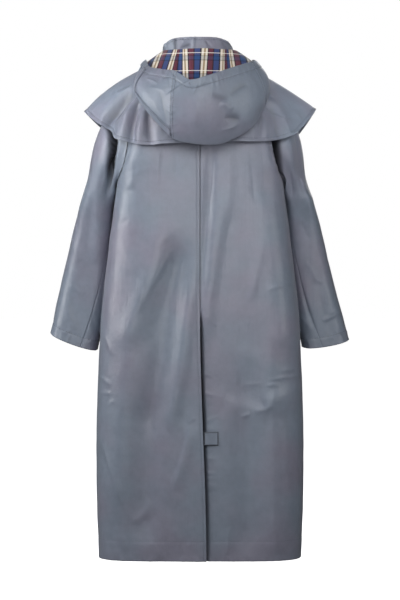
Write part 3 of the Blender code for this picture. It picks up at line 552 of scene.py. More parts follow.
# The runs along which they lie, in metres, and how long a degree of each edge is
BODY_HEM_RUN = (-0.26, 0.26)
BACK_SEAM_RUN = (VENT_TOP, UNDERARM + 0.1)
VENT_RUN = (VENT_PUCKER_FOOT, VENT_TOP)
ARMHOLE_RUN = (UNDERARM, -0.09)
ARMHOLE_RUN_FADE = 0.03
CAPE_HEM_RUN = (-0.74, 0.74)
HOOD_RIM_RUN = (-0.30, 0.30)
HOOD_SEAM_RUN = (-0.22, -0.06)
COLLAR_RUN = (-0.25, 0.25)
CAPE_HEM_DEGREE = 0.0046
HOOD_RIM_DEGREE = 0.0030
COLLAR_DEGREE = 0.0015

# Turned hems: how deep, how much they thicken the cloth and how deep the stitching pulls it in
Hem = namedtuple("Hem", "depth lift groove")
BODY_HEM = Hem(0.048, 0.0005, 0.0006)
CUFF_HEM = Hem(0.025, 0.0007, 0.0010)
CAPE_HEM_TURN = Hem(0.009, 0.0006, 0.0008)
HOOD_RIM_HEM = Hem(0.021, 0.0008, 0.0011)
COLLAR_HEM = Hem(0.006, 0.0004, 0.0006)
HEM_STEP = 0.002
STITCH_PULL = 0.0022
# Grooves that other stitching pulls: how far from the edge, half their width and their depth
Groove = namedtuple("Groove", "away width depth")
VENT_GROOVE = Groove(0.007, 0.0018, 0.0006)
ARMHOLE_GROOVE = Groove(0.006, 0.002, 0.0010)
HOOD_SEAM_GROOVE = Groove(0.0, STITCH_PULL, 0.0004)

# A faint crinkle over all the coated cloth
CRINKLE_WAVES = 26
CRINKLE_LENGTHS = (0.030, 0.130)
CRINKLE_SLOPE = 0.0045

# How finely the cloth is divided, the yoke's share of the body's rows, and how close to an edge the first
# line of points lies
BACK_COLUMNS, BACK_ROWS = 124, 350
FRONT_COLUMNS, FRONT_ROWS = 48, 140
YOKE_SHARE = 0.27
SLEEVE_COLUMNS, SLEEVE_ROWS = 110, 150
CAPE_COLUMNS, CAPE_ROWS = 380, 56
# Rows of the cape lie closer together towards its hem
CAPE_ROW_POWER = 1.4
COLLAR_COLUMNS, COLLAR_ROWS = 280, 30
HOOD_ROWS = 84
LINING_COLUMNS, LINING_ROWS = 260, 60
UNDERLAP_COLUMNS, UNDERLAP_ROWS = 16, 90
TAB_COLUMNS, TAB_ROWS = 20, 18
PLACKET_COLUMNS, PLACKET_ROWS = 20, 240
WELT_COLUMNS, WELT_ROWS = 10, 40
BAND_COLUMNS, BAND_ROWS = 60, 12
TURN_BACK_COLUMNS, TURN_BACK_ROWS = 16, 40
EDGE_SHARE = 0.35
# How finely the body's section and the armhole are divided to look up a place on them
SECTION_STEPS = 60
ARMHOLE_STEPS = 90


def smooth_curve(rows, key, values, at):
    """Values of a smooth curve through a table's rows, read at other keys."""
    keys = np.array([getattr(row, key) for row in rows])
    points = np.array([[getattr(row, value) for value in values] for row in rows])
    slopes = np.gradient(points, keys, axis=0)
    at = np.clip(np.asarray(at, float), keys[0], keys[-1])
    start = np.clip(np.searchsorted(keys, at, side="right") - 1, 0, len(keys) - 2)
    span = (keys[start + 1] - keys[start])[..., None]
    part = ((at - keys[start])[..., None]) / span
    rest = 1 - part
    from_start = (1 + 2 * part) * rest**2 * points[start] + part * rest**2 * span * slopes[start]
    from_end = part**2 * (3 - 2 * part) * points[start + 1] - part**2 * rest * span * slopes[start + 1]
    return from_start + from_end


def vector(x, y, z):
    return np.stack(np.broadcast_arrays(x, y, z), axis=-1).astype(float)


def unit(vectors):
    return vectors / np.maximum(np.linalg.norm(vectors, axis=-1, keepdims=True), 1e-12)


def ease(share):
    """0 to 1 with a soft start and end."""
    share = np.clip(share, 0.0, 1.0)
    return share * share * (3.0 - 2.0 * share)


def hump(distance, spread):
    """1 at no distance, falling away evenly on both sides."""
    return np.exp(-((distance / spread) ** 2))


def bow(share):
    """0 at both ends and 1 half way."""
    return 4 * share * (1 - share)


def steps(start, end, count):
    """The points that divide a run into a number of equal parts."""
    return np.linspace(start, end, count + 1)


def edged(places):
    """The same places with one more close to each end, so that the cloth's edge turns over tightly."""
    first = places[0] + EDGE_SHARE * (places[1] - places[0])
    last = places[-1] - EDGE_SHARE * (places[-1] - places[-2])
    return np.concatenate([places[:1], [first], places[1:-1], [last], places[-1:]])


def mirrored(points, side):
    return points * vector(side, np.ones_like(side), np.ones_like(side))


def neck_point(angle, out=0.0, rise=0.0):
    """A point of the neck seam at an angle from the centre back, moved out and up."""
    turn = np.radians(angle)
    depth = np.where(np.cos(turn) > 0, NECK_BACK, NECK_FRONT)
    x = (NECK_HALF_WIDTH + out) * np.sin(turn)
    y = -(depth + out) * np.cos(turn)
    drop = FRONT_NECK_DROP * ((1 - np.cos(turn)) / 2) ** 2
    return vector(x, y, NECK_SIDE_RISE * np.sin(turn) ** 2 - drop + rise)


def body_ring(share, height):
    """The right half of a level section: share 0 at the centre back, 1 at the side seam, 2 at the front."""
    turn = np.radians(np.interp(share, (0, 1, 2), (-90.0, -SIDE_SEAM_TURN, 90.0)))
    size = smooth_curve(BODY_SECTIONS, "height", ("half_width", "back", "front"), height)
    depth = np.where(np.sin(turn) < 0, size[..., 1], size[..., 2])
    power = np.where(np.sin(turn) < 0, BACK_POWER, FRONT_POWER)
    across = np.abs(np.cos(turn) / size[..., 0]) ** power
    along = np.abs(np.sin(turn) / depth) ** power
    radius = (across + along) ** (-1 / power)
    return vector(radius * np.cos(turn), radius * np.sin(turn), height)


def underarm_point():
    return body_ring(np.array(1.0), np.array(UNDERARM))


def armhole_point(turn):
    """The right armhole: 0 degrees at the shoulder, 90 at the front, 180 underarm, 270 at the back."""
    angle = np.radians(turn)[..., None]
    foot = underarm_point()
    depth = np.where(np.sin(angle) > 0, ARMHOLE_FRONT, ARMHOLE_BACK)
    middle = (SHOULDER_POINT + foot) / 2
    half = (SHOULDER_POINT - foot) / 2
    inset = np.sin(angle) ** 2 * ARMHOLE_INSET * np.array([-1.0, 0.0, 0.0])
    return middle + np.cos(angle) * half + np.sin(angle) * depth * np.array([0.0, 1.0, 0.0]) + inset


def centre_line(share, face):
    """The centre back or centre front line, from underarm height up to the neck."""
    rows = CENTRE_BACK if face == BACK else CENTRE_FRONT
    height = UNDERARM + share * (rows[-1].height - UNDERARM)
    depth = smooth_curve(rows, "height", ("depth",), height)[..., 0]
    return vector(0.0 * height, face * depth, height)


def top_edge(share, face):
    """The neck from the centre to the shoulder seam, then the shoulder seam to the armhole."""
    start = 0.0 if face == BACK else 180.0
    neck = neck_point(start + np.clip(share / NECK_SHARE, 0, 1) * (SHOULDER_NECK_ANGLE - start))
    along_seam = np.clip((share - NECK_SHARE) / (1 - NECK_SHARE), 0, 1)[..., None]
    return neck + along_seam * (SHOULDER_POINT - neck)


def yoke(across, up, face):
    """The right upper back or front, filled in between its four edges."""
    ring_share = across if face == BACK else 2.0 - across
    foot = body_ring(ring_share, np.full_like(across, UNDERARM))
    top = top_edge(across, face)
    centre = centre_line(up, face)
    side = armhole_point(180.0 - face * 180.0 * up)
    u = across[..., None]
    v = up[..., None]
    corner_low = centre_line(0.0 * up, face)
    corner_high = centre_line(0.0 * up + 1.0, face)
    flat = (1 - v) * ((1 - u) * corner_low + u * underarm_point())
    flat = flat + v * ((1 - u) * corner_high + u * SHOULDER_POINT)
    return (1 - v) * foot + v * top + (1 - u) * centre + u * side - flat


def fold_depth(x, z, face):
    """How far the soft folds move the body's cloth out of its plain section."""
    total = np.zeros_like(x)
    for fold in BODY_FOLDS:
        share = (fold.top_z - z) / (fold.top_z - fold.foot_z)
        line = fold.top_x + np.clip(share, 0, 1) * (fold.foot_x - fold.top_x)
        fade = ease(share / FOLD_END + 0.5) * ease((1 - share) / FOLD_END + 0.5)
        total = total + np.where(face == fold.face, fold.depth * fade * hump(x - line, fold.width), 0.0)
    return total


def plain_body(share, up):
    """The right half of the body before its folds: skirt up to the underarm, yoke above it."""
    height = HEM + np.clip(up, 0, 1) * (UNDERARM - HEM)
    low = body_ring(share, height)
    yoke_up = np.clip(up - 1.0, 0, 1)
    back = yoke(np.clip(share, 0, 1), yoke_up, BACK)
    front = yoke(np.clip(2.0 - share, 0, 1), yoke_up, FRONT)
    high = np.where((share <= 1)[..., None], back, front)
    return np.where((up <= 1)[..., None], low, high)


def body(around, up):
    """The coat's body: around 0 centre back, +-1 side seams, +-2 front; up 0 hem, 1 underarm, 2 top."""
    around = (np.asarray(around, float) + 2.0) % 4.0 - 2.0
    side = np.where(around < 0, -1.0, 1.0)
    share = np.abs(around)
    from_seam = 1 - np.abs(1 - share)
    window = UNDERARM_SOFTNESS * (1 - from_seam**3) * hump(up - 1.0, UNDERARM_REACH)
    soft = sum(part * plain_body(share, up + window * shift) for shift, part in SOFTENING)
    points = mirrored(soft, side)
    face = np.where(share <= 1, BACK, FRONT)
    points[..., 1] += face * fold_depth(points[..., 0], points[..., 2], face)
    return points


def vent_reach(x, z):
    """How much the vent shows at a point: 1 along the open vent, 0 well away from it."""
    return hump(x, VENT_SPREAD) * ease((VENT_TOP - z) / VENT_FADE)


def vent_edge(z):
    """How far right of the middle the left panel's vent edge lies."""
    return VENT_CROSSING * ease((VENT_TOP - z) / (VENT_TOP - HEM))


def back_left(around, up):
    """The left back, whose vent edge crosses the middle as it falls and stands out."""
    plain = body(around, up)
    half_width = np.abs(body(np.full_like(around, 1.0), up)[..., 0])
    points = body(around + (1.0 + around) * vent_edge(plain[..., 2]) / half_width, up)
    points[..., 1] -= VENT_LIFT * vent_reach(points[..., 0], points[..., 2])
    return points


def back_right(around, up):
    points = body(around, up)
    points[..., 1] += VENT_SINK * vent_reach(points[..., 0], points[..., 2])
    return points


def vent_underlap(around, up):
    points = body(around, up)
    points[..., 1] += VENT_SINK * ease((VENT_TOP - points[..., 2]) / VENT_FADE) + VENT_UNDERLAP_IN
    return points


def sleeve_point(turn, along, hang):
    """A sleeve seen on the right: turn as at the armhole, along 0 at the cuff and 1 at the armhole."""
    foot = underarm_point()
    top = SHOULDER_POINT
    middle_y = (top[1] + foot[1]) / 2
    lean = (top[1] - foot[1]) / 2
    armhole = Ring(1.0, top[0], top[2], foot[0], foot[2], middle_y, lean, ARMHOLE_FRONT, ARMHOLE_BACK)
    ring = Ring(*np.moveaxis(smooth_curve(SLEEVE_RINGS + (armhole,), "along", Ring._fields, along), -1, 0))
    near_armhole = ease((along - SLEEVE_RINGS[-2].along) / (1 - SLEEVE_RINGS[-2].along))
    angle = np.radians(turn)
    share = (1 + np.cos(angle)) / 2
    free = np.minimum(1.0, (1 - along) / HANG_FADE)
    near_cuff = ease(1 - along / CUFF_REACH)
    outer_x = ring.outer_x + free * hang.outer_x + near_cuff * hang.cuff_outer_x
    outer_z = ring.outer_z + near_cuff * hang.cuff_outer_z
    inner_z = ring.inner_z + near_cuff * hang.cuff_inner_z
    x = ring.inner_x + share * (outer_x - ring.inner_x)
    z = inner_z + share * (outer_z - inner_z) + near_cuff * CUFF_BACK_DROP * np.sin(angle)
    depth = np.where(np.sin(angle) > 0, ring.front, ring.back)
    square = 1 + SLEEVE_SQUARENESS * ease((1 - along) / SQUARE_FADE) * np.cos(angle) ** 2
    y = ring.middle_y + np.cos(angle) * ring.lean + np.sin(angle) * square * depth
    x = x - near_armhole * ARMHOLE_INSET * np.sin(angle) ** 2
    turned = (np.asarray(turn) % 360.0) - CLEFT_TURN
    cleft = hump(turned, CLEFT_SPREAD) * hump(along - CLEFT_ALONG, CLEFT_REACH) * (1 - along) / CLEFT_END
    return vector(x, y + CLEFT_DEPTH * cleft, z)


def sleeve(hang):
    """Surface of one sleeve, round from its seam and back to it, from cuff to armhole."""

    def surface(around, along):
        start = np.interp(along, *zip(*SLEEVE_SEAM_LINE))
        points = sleeve_point(start + hang.side * 360.0 * around, along, hang)
        points[..., 0] += ARMHOLE_GAP * ease(along)
        return mirrored(points, np.full(np.shape(along), float(hang.side)))

    return surface


def collar(angle, up):
    """The stand collar, which leans a little to the left at its top."""
    base = neck_point(angle, out=CLOTH, rise=COLLAR_BASE_RISE)
    height = COLLAR_HEIGHT - COLLAR_SIDE_DIP * np.sin(np.radians(angle)) ** 4
    top = neck_point(angle, out=CLOTH - COLLAR_TOP_INSET, rise=height)
    top = top + np.array([COLLAR_LEAN, 0.0, 0.0])
    v = np.asarray(up)[..., None]
    return base + v * (top - base)


def hanging(start, end, share, bulge):
    """A line from start to end that bows up and out between them."""
    run = unit(end - start)
    rise = np.array([0.0, 0.0, 1.0])
    out = unit(rise - run[..., 2:3] * run)
    v = share[..., None]
    return start + v * (end - start) + bow(v) * bulge[..., None] * out


def cape(angle, up):
    """The shoulder cape, from its hem up to the neck seam, with folds that deepen towards the hem."""
    row = smooth_curve(CAPE_HEM, "angle", ("x", "y", "z", "bulge"), angle)
    neck = neck_point(angle, out=CAPE_NECK_OUT, rise=CAPE_NECK_RISE)
    points = hanging(row[..., :3], neck, up, row[..., 3])
    fall = np.clip(1 - up, 0, 1) ** CAPE_FOLD_POWER
    depth = sum(fold.depth * hump(angle - fold.angle, fold.width) for fold in CAPE_FOLDS) * fall
    out = unit(row[..., :3] * np.array([1.0, 1.0, 0.0]))
    return points + depth[..., None] * out


def hood(angle, up):
    """The hood's near wall, from the fold at its foot up to the rim of its face opening."""
    columns = ("fold_x", "fold_y", "fold_z", "rim_x", "rim_y", "rim_z", "bulge")
    row = smooth_curve(HOOD_STATIONS, "angle", columns, angle)
    fold = row[..., :3]
    rim = row[..., 3:6]
    v = np.asarray(up)[..., None]
    out = unit((fold + rim) * np.array([0.5, 0.5, 0.0]))
    belly = bow(v) * row[..., 6:7] * (1 + HOOD_SAG * (1 - 2 * v))
    return fold + v * (rim - fold) + belly * out


def hood_lining(angle, up):
    """The hood's far wall, from just inside the fold up to the neck seam."""
    at_fold = np.zeros_like(up)
    foot = hood(angle, at_fold) - HOOD_LINING_IN * outward(hood, angle, at_fold + HOOD_BAND_RUN[0])
    at_nape = np.maximum(np.cos(np.radians(angle)), 0.0) ** 2
    at_side = np.sin(np.radians(angle)) ** 4
    rise = HOOD_NECK_RISE + HOOD_NAPE_RISE * at_nape + HOOD_SIDE_RISE * at_side
    neck = neck_point(angle, out=HOOD_NECK_OUT + HOOD_SIDE_OUT * at_side, rise=rise)
    bulge = smooth_curve(HOOD_STATIONS, "angle", ("bulge",), angle)[..., 0]
    return hanging(foot, neck, up, HOOD_LINING_BULGE * bulge)


def outward(surface, around, up, limits=NO_LIMITS, step=1e-3):
    """Unit normals of a surface, read just inside the limits of its piece."""
    around = np.asarray(around, float)
    up = np.asarray(up, float)
    low_a, high_a, low_u, high_u = limits
    right = surface(np.clip(around + step, low_a, high_a), up)
    left = surface(np.clip(around - step, low_a, high_a), up)
    above = surface(around, np.clip(up + step, low_u, high_u))
    below = surface(around, np.clip(up - step, low_u, high_u))
    return unit(np.cross(right - left, above - below))


def moved_out(surface, distance, limits=NO_LIMITS):
    """The surface of a piece that lies on another, made from its points, moved out."""

    def lifted(around, up):
        return surface(around, up) + distance * outward(surface, around, up, limits)

    return lifted


def up_at(height):
    """The body's upward coordinate at a height below the underarm."""
    return (height - HEM) / (UNDERARM - HEM)


def share_at(x, height):
    """The body's coordinate round the back at a distance from the middle."""
    shares = steps(0.0, 1.0, SECTION_STEPS)
    return float(np.interp(x, body_ring(shares, np.full_like(shares, height))[:, 0], shares))


def crease_line(points, row):
    """Share of the way along a crease's line, and the distance to the right of it, in metres."""
    run_x = (row.x1 - row.x0) * MM
    run_z = (row.z1 - row.z0) * MM
    length = np.hypot(run_x, run_z)
    x = points[..., 0] - row.x0 * MM
    z = points[..., 2] - row.z0 * MM
    share = (x * run_x + z * run_z) / length**2
    return share, (z * run_x - x * run_z) / length


def crease_relief(points, rows):
    """How far a table of creases moves the cloth out."""
    total = np.zeros(points.shape[:-1])
    for row in rows:
        share, away = crease_line(points, row)
        arch = np.clip(bow(share), 0.0, 1.0)
        away = away - row.bend * MM * arch
        width = row.width * MM * np.where(away > 0, 1 + row.lean, 1 - row.lean)
        sharp = np.interp(row.width, SHARP_WIDTHS_MM, SHARP_POWERS)
        profile = np.exp(-(np.abs(away) / width) ** sharp)
        total += row.depth * MM * ease(arch) ** CREASE_END_POWER * profile
    return total


def rim_lap(points):
    """A step where the hood's right rim lies over its left one; it dies away below the rim."""
    share, away = crease_line(points, RIM_LAP)
    side = ease(away / (2 * RIM_LAP.width * MM) + 0.5)
    beside = hump(away, RIM_LAP_REACH_MM * MM) * ease(RIM_LAP_RUN - np.abs(share - RIM_LAP_MIDDLE))
    return RIM_LAP.depth * MM * side * beside


def crinkle(points, seed=2):
    """Low waves in random directions, so that no part of the cloth is quite smooth."""
    random = np.random.default_rng(seed)
    total = np.zeros(points.shape[:-1])
    for _ in range(CRINKLE_WAVES):
        length = random.uniform(*CRINKLE_LENGTHS)
        direction = unit(random.normal(size=3))
        phase = random.uniform(0, 2 * np.pi)
        total += CRINKLE_SLOPE * length * np.sin(points @ direction * 2 * np.pi / length + phase)
    return total / np.sqrt(CRINKLE_WAVES)


def puckers(along, away, kind, start, end):
    """Small uneven ridges that run away from a sewn edge between two places along it."""
    random = np.random.default_rng(kind.seed)
    count = int((end - start) / kind.spacing)
    total = np.zeros(np.broadcast(along, away).shape)
    for number in range(count):
        place = start + (number + random.uniform(*PUCKER_PLACES)) * kind.spacing
        height = random.uniform(*PUCKER_HEIGHTS) * kind.depth
        reach = kind.reach * random.uniform(*PUCKER_REACHES)
        slant = random.normal(0.0, PUCKER_SLANT)
        total += height * hump(along - place - slant * away, kind.width) * hump(away, reach)
    return total


def hem_relief(away, hem):
    """A turned hem: the cloth is thicker up to its stitching, which pulls it in."""
    thick = hem.lift * (1 - ease((away - hem.depth + HEM_STEP / 2) / HEM_STEP))
    return thick - hem.groove * hump(away - hem.depth, STITCH_PULL)


def groove(away, kind):
    """How far a line of stitching pulls the cloth in, at a distance from the edge that it follows."""
    return kind.depth * hump(away - kind.away, kind.width)


def gap_between(first, second):
    return np.linalg.norm(first - second, axis=-1)


def dressed(base, limits, *reliefs):
    """A surface with its reliefs, which take coordinates, points and normals and give a distance out."""

    def surface(around, up):
        around = np.asarray(around, float)
        up = np.asarray(up, float)
        points = base(around, up)
        normals = outward(base, around, up, limits)
        lift = crinkle(points)
        for relief in reliefs:
            lift = lift + relief(around, up, points, normals)
        return points + lift[..., None] * normals

    return surface


def facing(normals, face):
    """1 where the cloth looks to the back or front, 0 where it looks the other way."""
    return ease(0.5 + FACING_SLOPE * face * normals[..., 1])


def back_panel_relief(creases, side):
    """Creases, hem, seams and vent of one back panel."""

    def relief(around, up, points, normals):
        x = points[..., 0]
        z = points[..., 2]
        above_vent = ease((z - VENT_TOP) / VENT_BLEND + 0.5)
        above_underarm = ease((z - UNDERARM) / ARMHOLE_RUN_FADE)
        from_edge = np.abs(x - vent_edge(z))
        from_armhole = gap_between(points, mirrored(armhole_at_height(z), np.full(z.shape, side)))
        total = crease_relief(points, creases)
        total += hem_relief(z - HEM, BODY_HEM)
        total += puckers(x, z - HEM, HEM_PUCKERS, *BODY_HEM_RUN)
        at_stitching = z - HEM - BODY_HEM.depth
        total += HEM_STITCH_SHARE * puckers(x, at_stitching, HEM_STITCH_PUCKERS, *BODY_HEM_RUN)
        total += above_vent * puckers(z, np.abs(x), BACK_SEAM_PUCKERS, *BACK_SEAM_RUN)
        if side > 0:
            below = ease((VENT_PUCKER_TOP - z) / VENT_PUCKER_FADE)
            total += below * puckers(z, from_edge, VENT_PUCKERS, *VENT_RUN)
            gap = np.interp(z, *zip(*VENT_GAP))
            total -= gap * hump(np.maximum(x - vent_edge(z), 0.0), VENT_GAP_WIDTH)
            total -= above_vent * UNDER_LAP * (1 - ease(x / BACK_LAP_LEVEL))
        else:
            total -= groove(from_edge, VENT_GROOVE)
        total += above_underarm * puckers(z, from_armhole, ARMHOLE_PUCKERS, *ARMHOLE_RUN)
        return total - above_underarm * groove(from_armhole, ARMHOLE_GROOVE)

    return relief


def armhole_at_height(z):
    """The back of the right armhole at a height."""
    turns = steps(180.0, 360.0, ARMHOLE_STEPS)
    loop = armhole_point(turns)
    order = np.argsort(loop[:, 2])
    return np.stack([np.interp(z, loop[order, 2], loop[order, axis]) for axis in range(3)], axis=-1)


def side_lap(up):
    """How far a front panel runs on under the back panel at a height: not at all above the underarm."""
    return SIDE_LAP * ease((1.0 - up) / SIDE_LAP_FADE)


def front_share(around, up):
    """The body's coordinate of a front panel's point, counted from the centre back."""
    return 2.0 - (2.0 - np.abs(around)) * (1.0 + side_lap(up))


def front(around, up):
    """The front panels, with their laps under the back panels at the side seams."""
    return body(np.sign(around) * front_share(around, up), up)


def front_panel_relief(creases, back_creases):
    """Creases and hem of one front panel, which takes up the back panel's creases at the side seam."""

    def relief(around, up, points, normals):
        x = points[..., 0]
        z = points[..., 2]
        from_side = front_share(around, up) - 1.0
        own = ease(from_side / SIDE_BLEND)
        clear = ease((np.abs(x) - FRONT_SMOOTH) / FRONT_SMOOTH_FADE)
        total = clear * own * crease_relief(points, creases)
        total += (1 - own) * crease_relief(points, back_creases)
        total += hem_relief(z - HEM, BODY_HEM)
        total -= UNDER_LAP * side_lap(up) / SIDE_LAP * (1 - ease(from_side / SIDE_LAP))
        return total + puckers(x, z - HEM, FRONT_HEM_PUCKERS, *BODY_HEM_RUN)

    return relief


def tuck_line(points, head, tuck):
    """Distance of a sleeve's points from the line of its tuck, and how much of the tuck is left there."""
    fall = np.clip((TUCK_TOP - points[..., 2]) / (TUCK_TOP - TUCK_FOOT), *TUCK_RUN)
    away = head - tuck.top_away - fall * (tuck.foot_away - tuck.top_away)
    return away, ease((TUCK_END - fall) / TUCK_FADE)


def sleeve_relief(hang, back_creases):
    """Creases of one sleeve on both faces, its cuff, its seam and the gathers at the armhole."""
    plain = sleeve(hang)
    flip = np.array([hang.side, 1.0, 1.0])
    tuck = TUCKS[hang.name]

    def relief(around, up, points, normals):
        cuff = gap_between(points, plain(around, np.zeros_like(up)))
        head = gap_between(points, plain(around, np.ones_like(up)))
        round_cuff = np.asarray(around) * CUFF_GIRTH
        from_seam = np.maximum(np.minimum(around, 1 - around), 0.0) * CUFF_GIRTH
        away, left = tuck_line(points, head, tuck)
        deep = tuck.depth * left * ease(head / TUCK_FROM_SEAM) * hump(away, tuck.width)
        total = facing(normals, BACK) * (crease_relief(points, back_creases) - deep)
        total += facing(normals, FRONT) * crease_relief(points * flip, SLEEVE_FRONT_CREASES)
        total += hem_relief(cuff, CUFF_HEM)
        total += puckers(round_cuff, cuff, CUFF_PUCKERS, 0.0, CUFF_GIRTH)
        total += puckers(round_cuff, cuff - CUFF_HEM.depth, CUFF_STITCH_PUCKERS, 0.0, CUFF_GIRTH)
        along = up * SLEEVE_LENGTH
        total += puckers(along, from_seam, SLEEVE_SEAM_PUCKERS, SLEEVE_SEAM_START, SLEEVE_LENGTH)
        total += puckers(round_cuff, head, SLEEVE_HEAD_PUCKERS, 0.0, CUFF_GIRTH)
        under = UNDER_LAP * (1 - ease(around / (2 * SLEEVE_LAP)))
        to_body = np.maximum(-hang.side * normals[..., 0], 0.0)
        touch = UNDERARM_TOUCH * to_body * hump(up - UNDERARM_TOUCH_ALONG, UNDERARM_TOUCH_REACH)
        return total * ease(from_seam / SLEEVE_SEAM_SMOOTH) - under + touch

    return relief


def cape_relief(around, up, points, normals):
    hem = gap_between(points, cape(around, np.zeros_like(up)))
    along = np.asarray(around) * CAPE_HEM_DEGREE
    total = facing(normals, BACK) * crease_relief(points, CAPE_BACK_CREASES)
    total += facing(normals, FRONT) * crease_relief(points, CAPE_FRONT_CREASES)
    total += hem_relief(hem, CAPE_HEM_TURN)
    return total + puckers(along, hem, CAPE_HEM_PUCKERS, *CAPE_HEM_RUN)


def hood_relief(around, up, points, normals):
    rim = gap_between(points, hood(around, np.ones_like(up)))
    along = np.asarray(around) * HOOD_RIM_DEGREE
    left_seam = gap_between(points, hood(np.full_like(around, HOOD_LEFT_SEAM), up))
    right_seam = gap_between(points, hood(np.full_like(around, HOOD_RIGHT_SEAM), up))
    total = facing(normals, BACK) * (crease_relief(points, HOOD_CREASES) + rim_lap(points))
    total += hem_relief(rim, HOOD_RIM_HEM)
    total += puckers(along, rim, HOOD_RIM_PUCKERS, *HOOD_RIM_RUN)
    total += puckers(along, rim - HOOD_RIM_HEM.depth, RIM_STITCH_PUCKERS, *HOOD_RIM_RUN)
    total += puckers(points[..., 2], left_seam, HOOD_SEAM_PUCKERS, *HOOD_SEAM_RUN)
    total += HOOD_RIDGE * np.exp(-left_seam / HOOD_RIDGE_REACH)
    for seam in (left_seam, right_seam):
        total -= groove(seam, HOOD_SEAM_GROOVE)
    return total


def collar_relief(around, up, points, normals):
    rim = gap_between(points, collar(around, np.ones_like(up)))
    along = np.asarray(around) * COLLAR_DEGREE
    total = facing(normals, BACK) * crease_relief(points, COLLAR_CREASES)
    total += hem_relief(rim, COLLAR_HEM)
    return total + puckers(along, rim, COLLAR_PUCKERS, *COLLAR_RUN)


def lining_relief(around, up, points, normals):
    return facing(normals, BACK) * crease_relief(points, LINING_CREASES)


def link(made):
    bpy.context.scene.collection.objects.link(made)
    return made


def arc_lengths(points, axis):
    """Mean distance along the rows or columns of a grid of points."""
    gaps = np.linalg.norm(np.diff(points, axis=axis), axis=-1)
    mean = gaps.mean(axis=1 - axis)
    return np.concatenate([[0.0], np.cumsum(mean)])


def grid_normals(points):
    across = np.gradient(points, axis=1)
    along = np.gradient(points, axis=0)
    return unit(np.cross(across, along))


Cloth = namedtuple("Cloth", "piece width length area")


def shell(name, surface, around, up, finish, thickness=CLOTH, pattern=None, seam=None):
    """A thin shell of cloth, outer and inner faces joined at one rounded edge, with its flat size."""
    around = edged(around)
    up = edged(up)
    u, v = np.meshgrid(around, up)
    outer = surface(u, v)
    normal = grid_normals(outer)
    edge = np.zeros(u.shape, bool)
    edge[[0, -1], :] = True
    edge[:, [0, -1]] = True
    wide = arc_lengths(outer, 1)
    tall = arc_lengths(outer, 0)
    outer[edge] -= thickness / 2 * normal[edge]
    inner = (outer - thickness * normal)[~edge]
    rows, columns = u.shape
    near = np.arange(rows * columns).reshape(rows, columns)
    far = near.copy()
    far[~edge] = rows * columns + np.arange(len(inner))

    def quads(index):
        corners = (index[:-1, :-1], index[:-1, 1:], index[1:, 1:], index[1:, :-1])
        return np.stack([corner.ravel() for corner in corners], axis=1)

    faces = np.concatenate([quads(near), quads(far)[:, ::-1]])
    points = np.concatenate([outer.reshape(-1, 3), inner])
    mesh = bpy.data.meshes.new(name)
    mesh.from_pydata(points.tolist(), [], faces.tolist())
    flat = np.stack(np.meshgrid(wide, tall), axis=-1) if pattern is None else pattern(u, v, outer)
    flat = np.concatenate([flat.reshape(-1, 2), flat[~edge]])
    corners = np.empty(len(mesh.loops), int)
    mesh.loops.foreach_get("vertex_index", corners)
    mesh.uv_layers.new(name="cloth").data.foreach_set("uv", flat[corners].ravel())
    # seam gives the painted shade of each point: how far the cloth's colour is darkened in its folds and
    # seams
    dark = np.zeros(u.shape) if seam is None else seam(u, v, outer)
    dark = np.concatenate([dark.ravel(), dark[~edge]])
    mesh.attributes.new("painted_shade", "FLOAT", "POINT").data.foreach_set("value", dark)
    mesh.materials.append(finish)
    mesh.shade_smooth()
    area = float(sum(polygon.area for polygon in mesh.polygons) / 2)
    return Cloth(link(bpy.data.objects.new(name, mesh)), float(wide[-1]), float(tall[-1]), area)


def colour(code):
    """An sRGB hex colour as linear values."""
    channels = np.array([int(code[start : start + 2], 16) for start in (1, 3, 5)]) / 255
    linear = np.where(channels <= 0.04045, channels / 12.92, ((channels + 0.055) / 1.055) ** 2.4)
    return (*linear.tolist(), 1.0)


def add(tree, kind, inputs=None, **settings):
    """One node with its settings; an input is a value or another node's output."""
    made = tree.nodes.new(kind)
    for name, value in settings.items():
        setattr(made, name, value)
    for key, value in (inputs or {}).items():
        if isinstance(value, bpy.types.NodeSocket):
            tree.links.new(value, made.inputs[key])
        else:
            made.inputs[key].default_value = value
    return made


def new_material(name):
    made = bpy.data.materials.new(name)
    made.use_nodes = True
    tree = made.node_tree
    tree.nodes.clear()
    return made, tree


def finish_material(made, tree, shader):
    add(tree, "ShaderNodeOutputMaterial", {"Surface": shader.outputs["BSDF"]})
    return made


# Wave textures repeat 20 times in a length of 2 pi at scale 1
WAVE_SCALE = 2 * np.pi / 20
# What is left of the cloth's colour where the painted shade is deepest
DEEPEST_SHADE = 0.12

# Coated cotton, drawn coarser than it is so that it shows: real threads are 0.4 mm apart
COTTON_THREAD = 1.9 * MM
# Sizes of its patterns: patches of a warmer tone, mottle, streaks, ridges and a crisp grain
PATCH = 142.9 * MM
MOTTLE = 16.67 * MM
STREAK = 13.33 * MM
RIDGE = 76.92 * MM
GRAIN = 10.53 * MM
# Streaks and ridges are drawn out down the cloth by these scales
STREAK_STRETCH = (1.0, 1.0, 0.07)
RIDGE_STRETCH = (1.0, 1.0, 0.45)


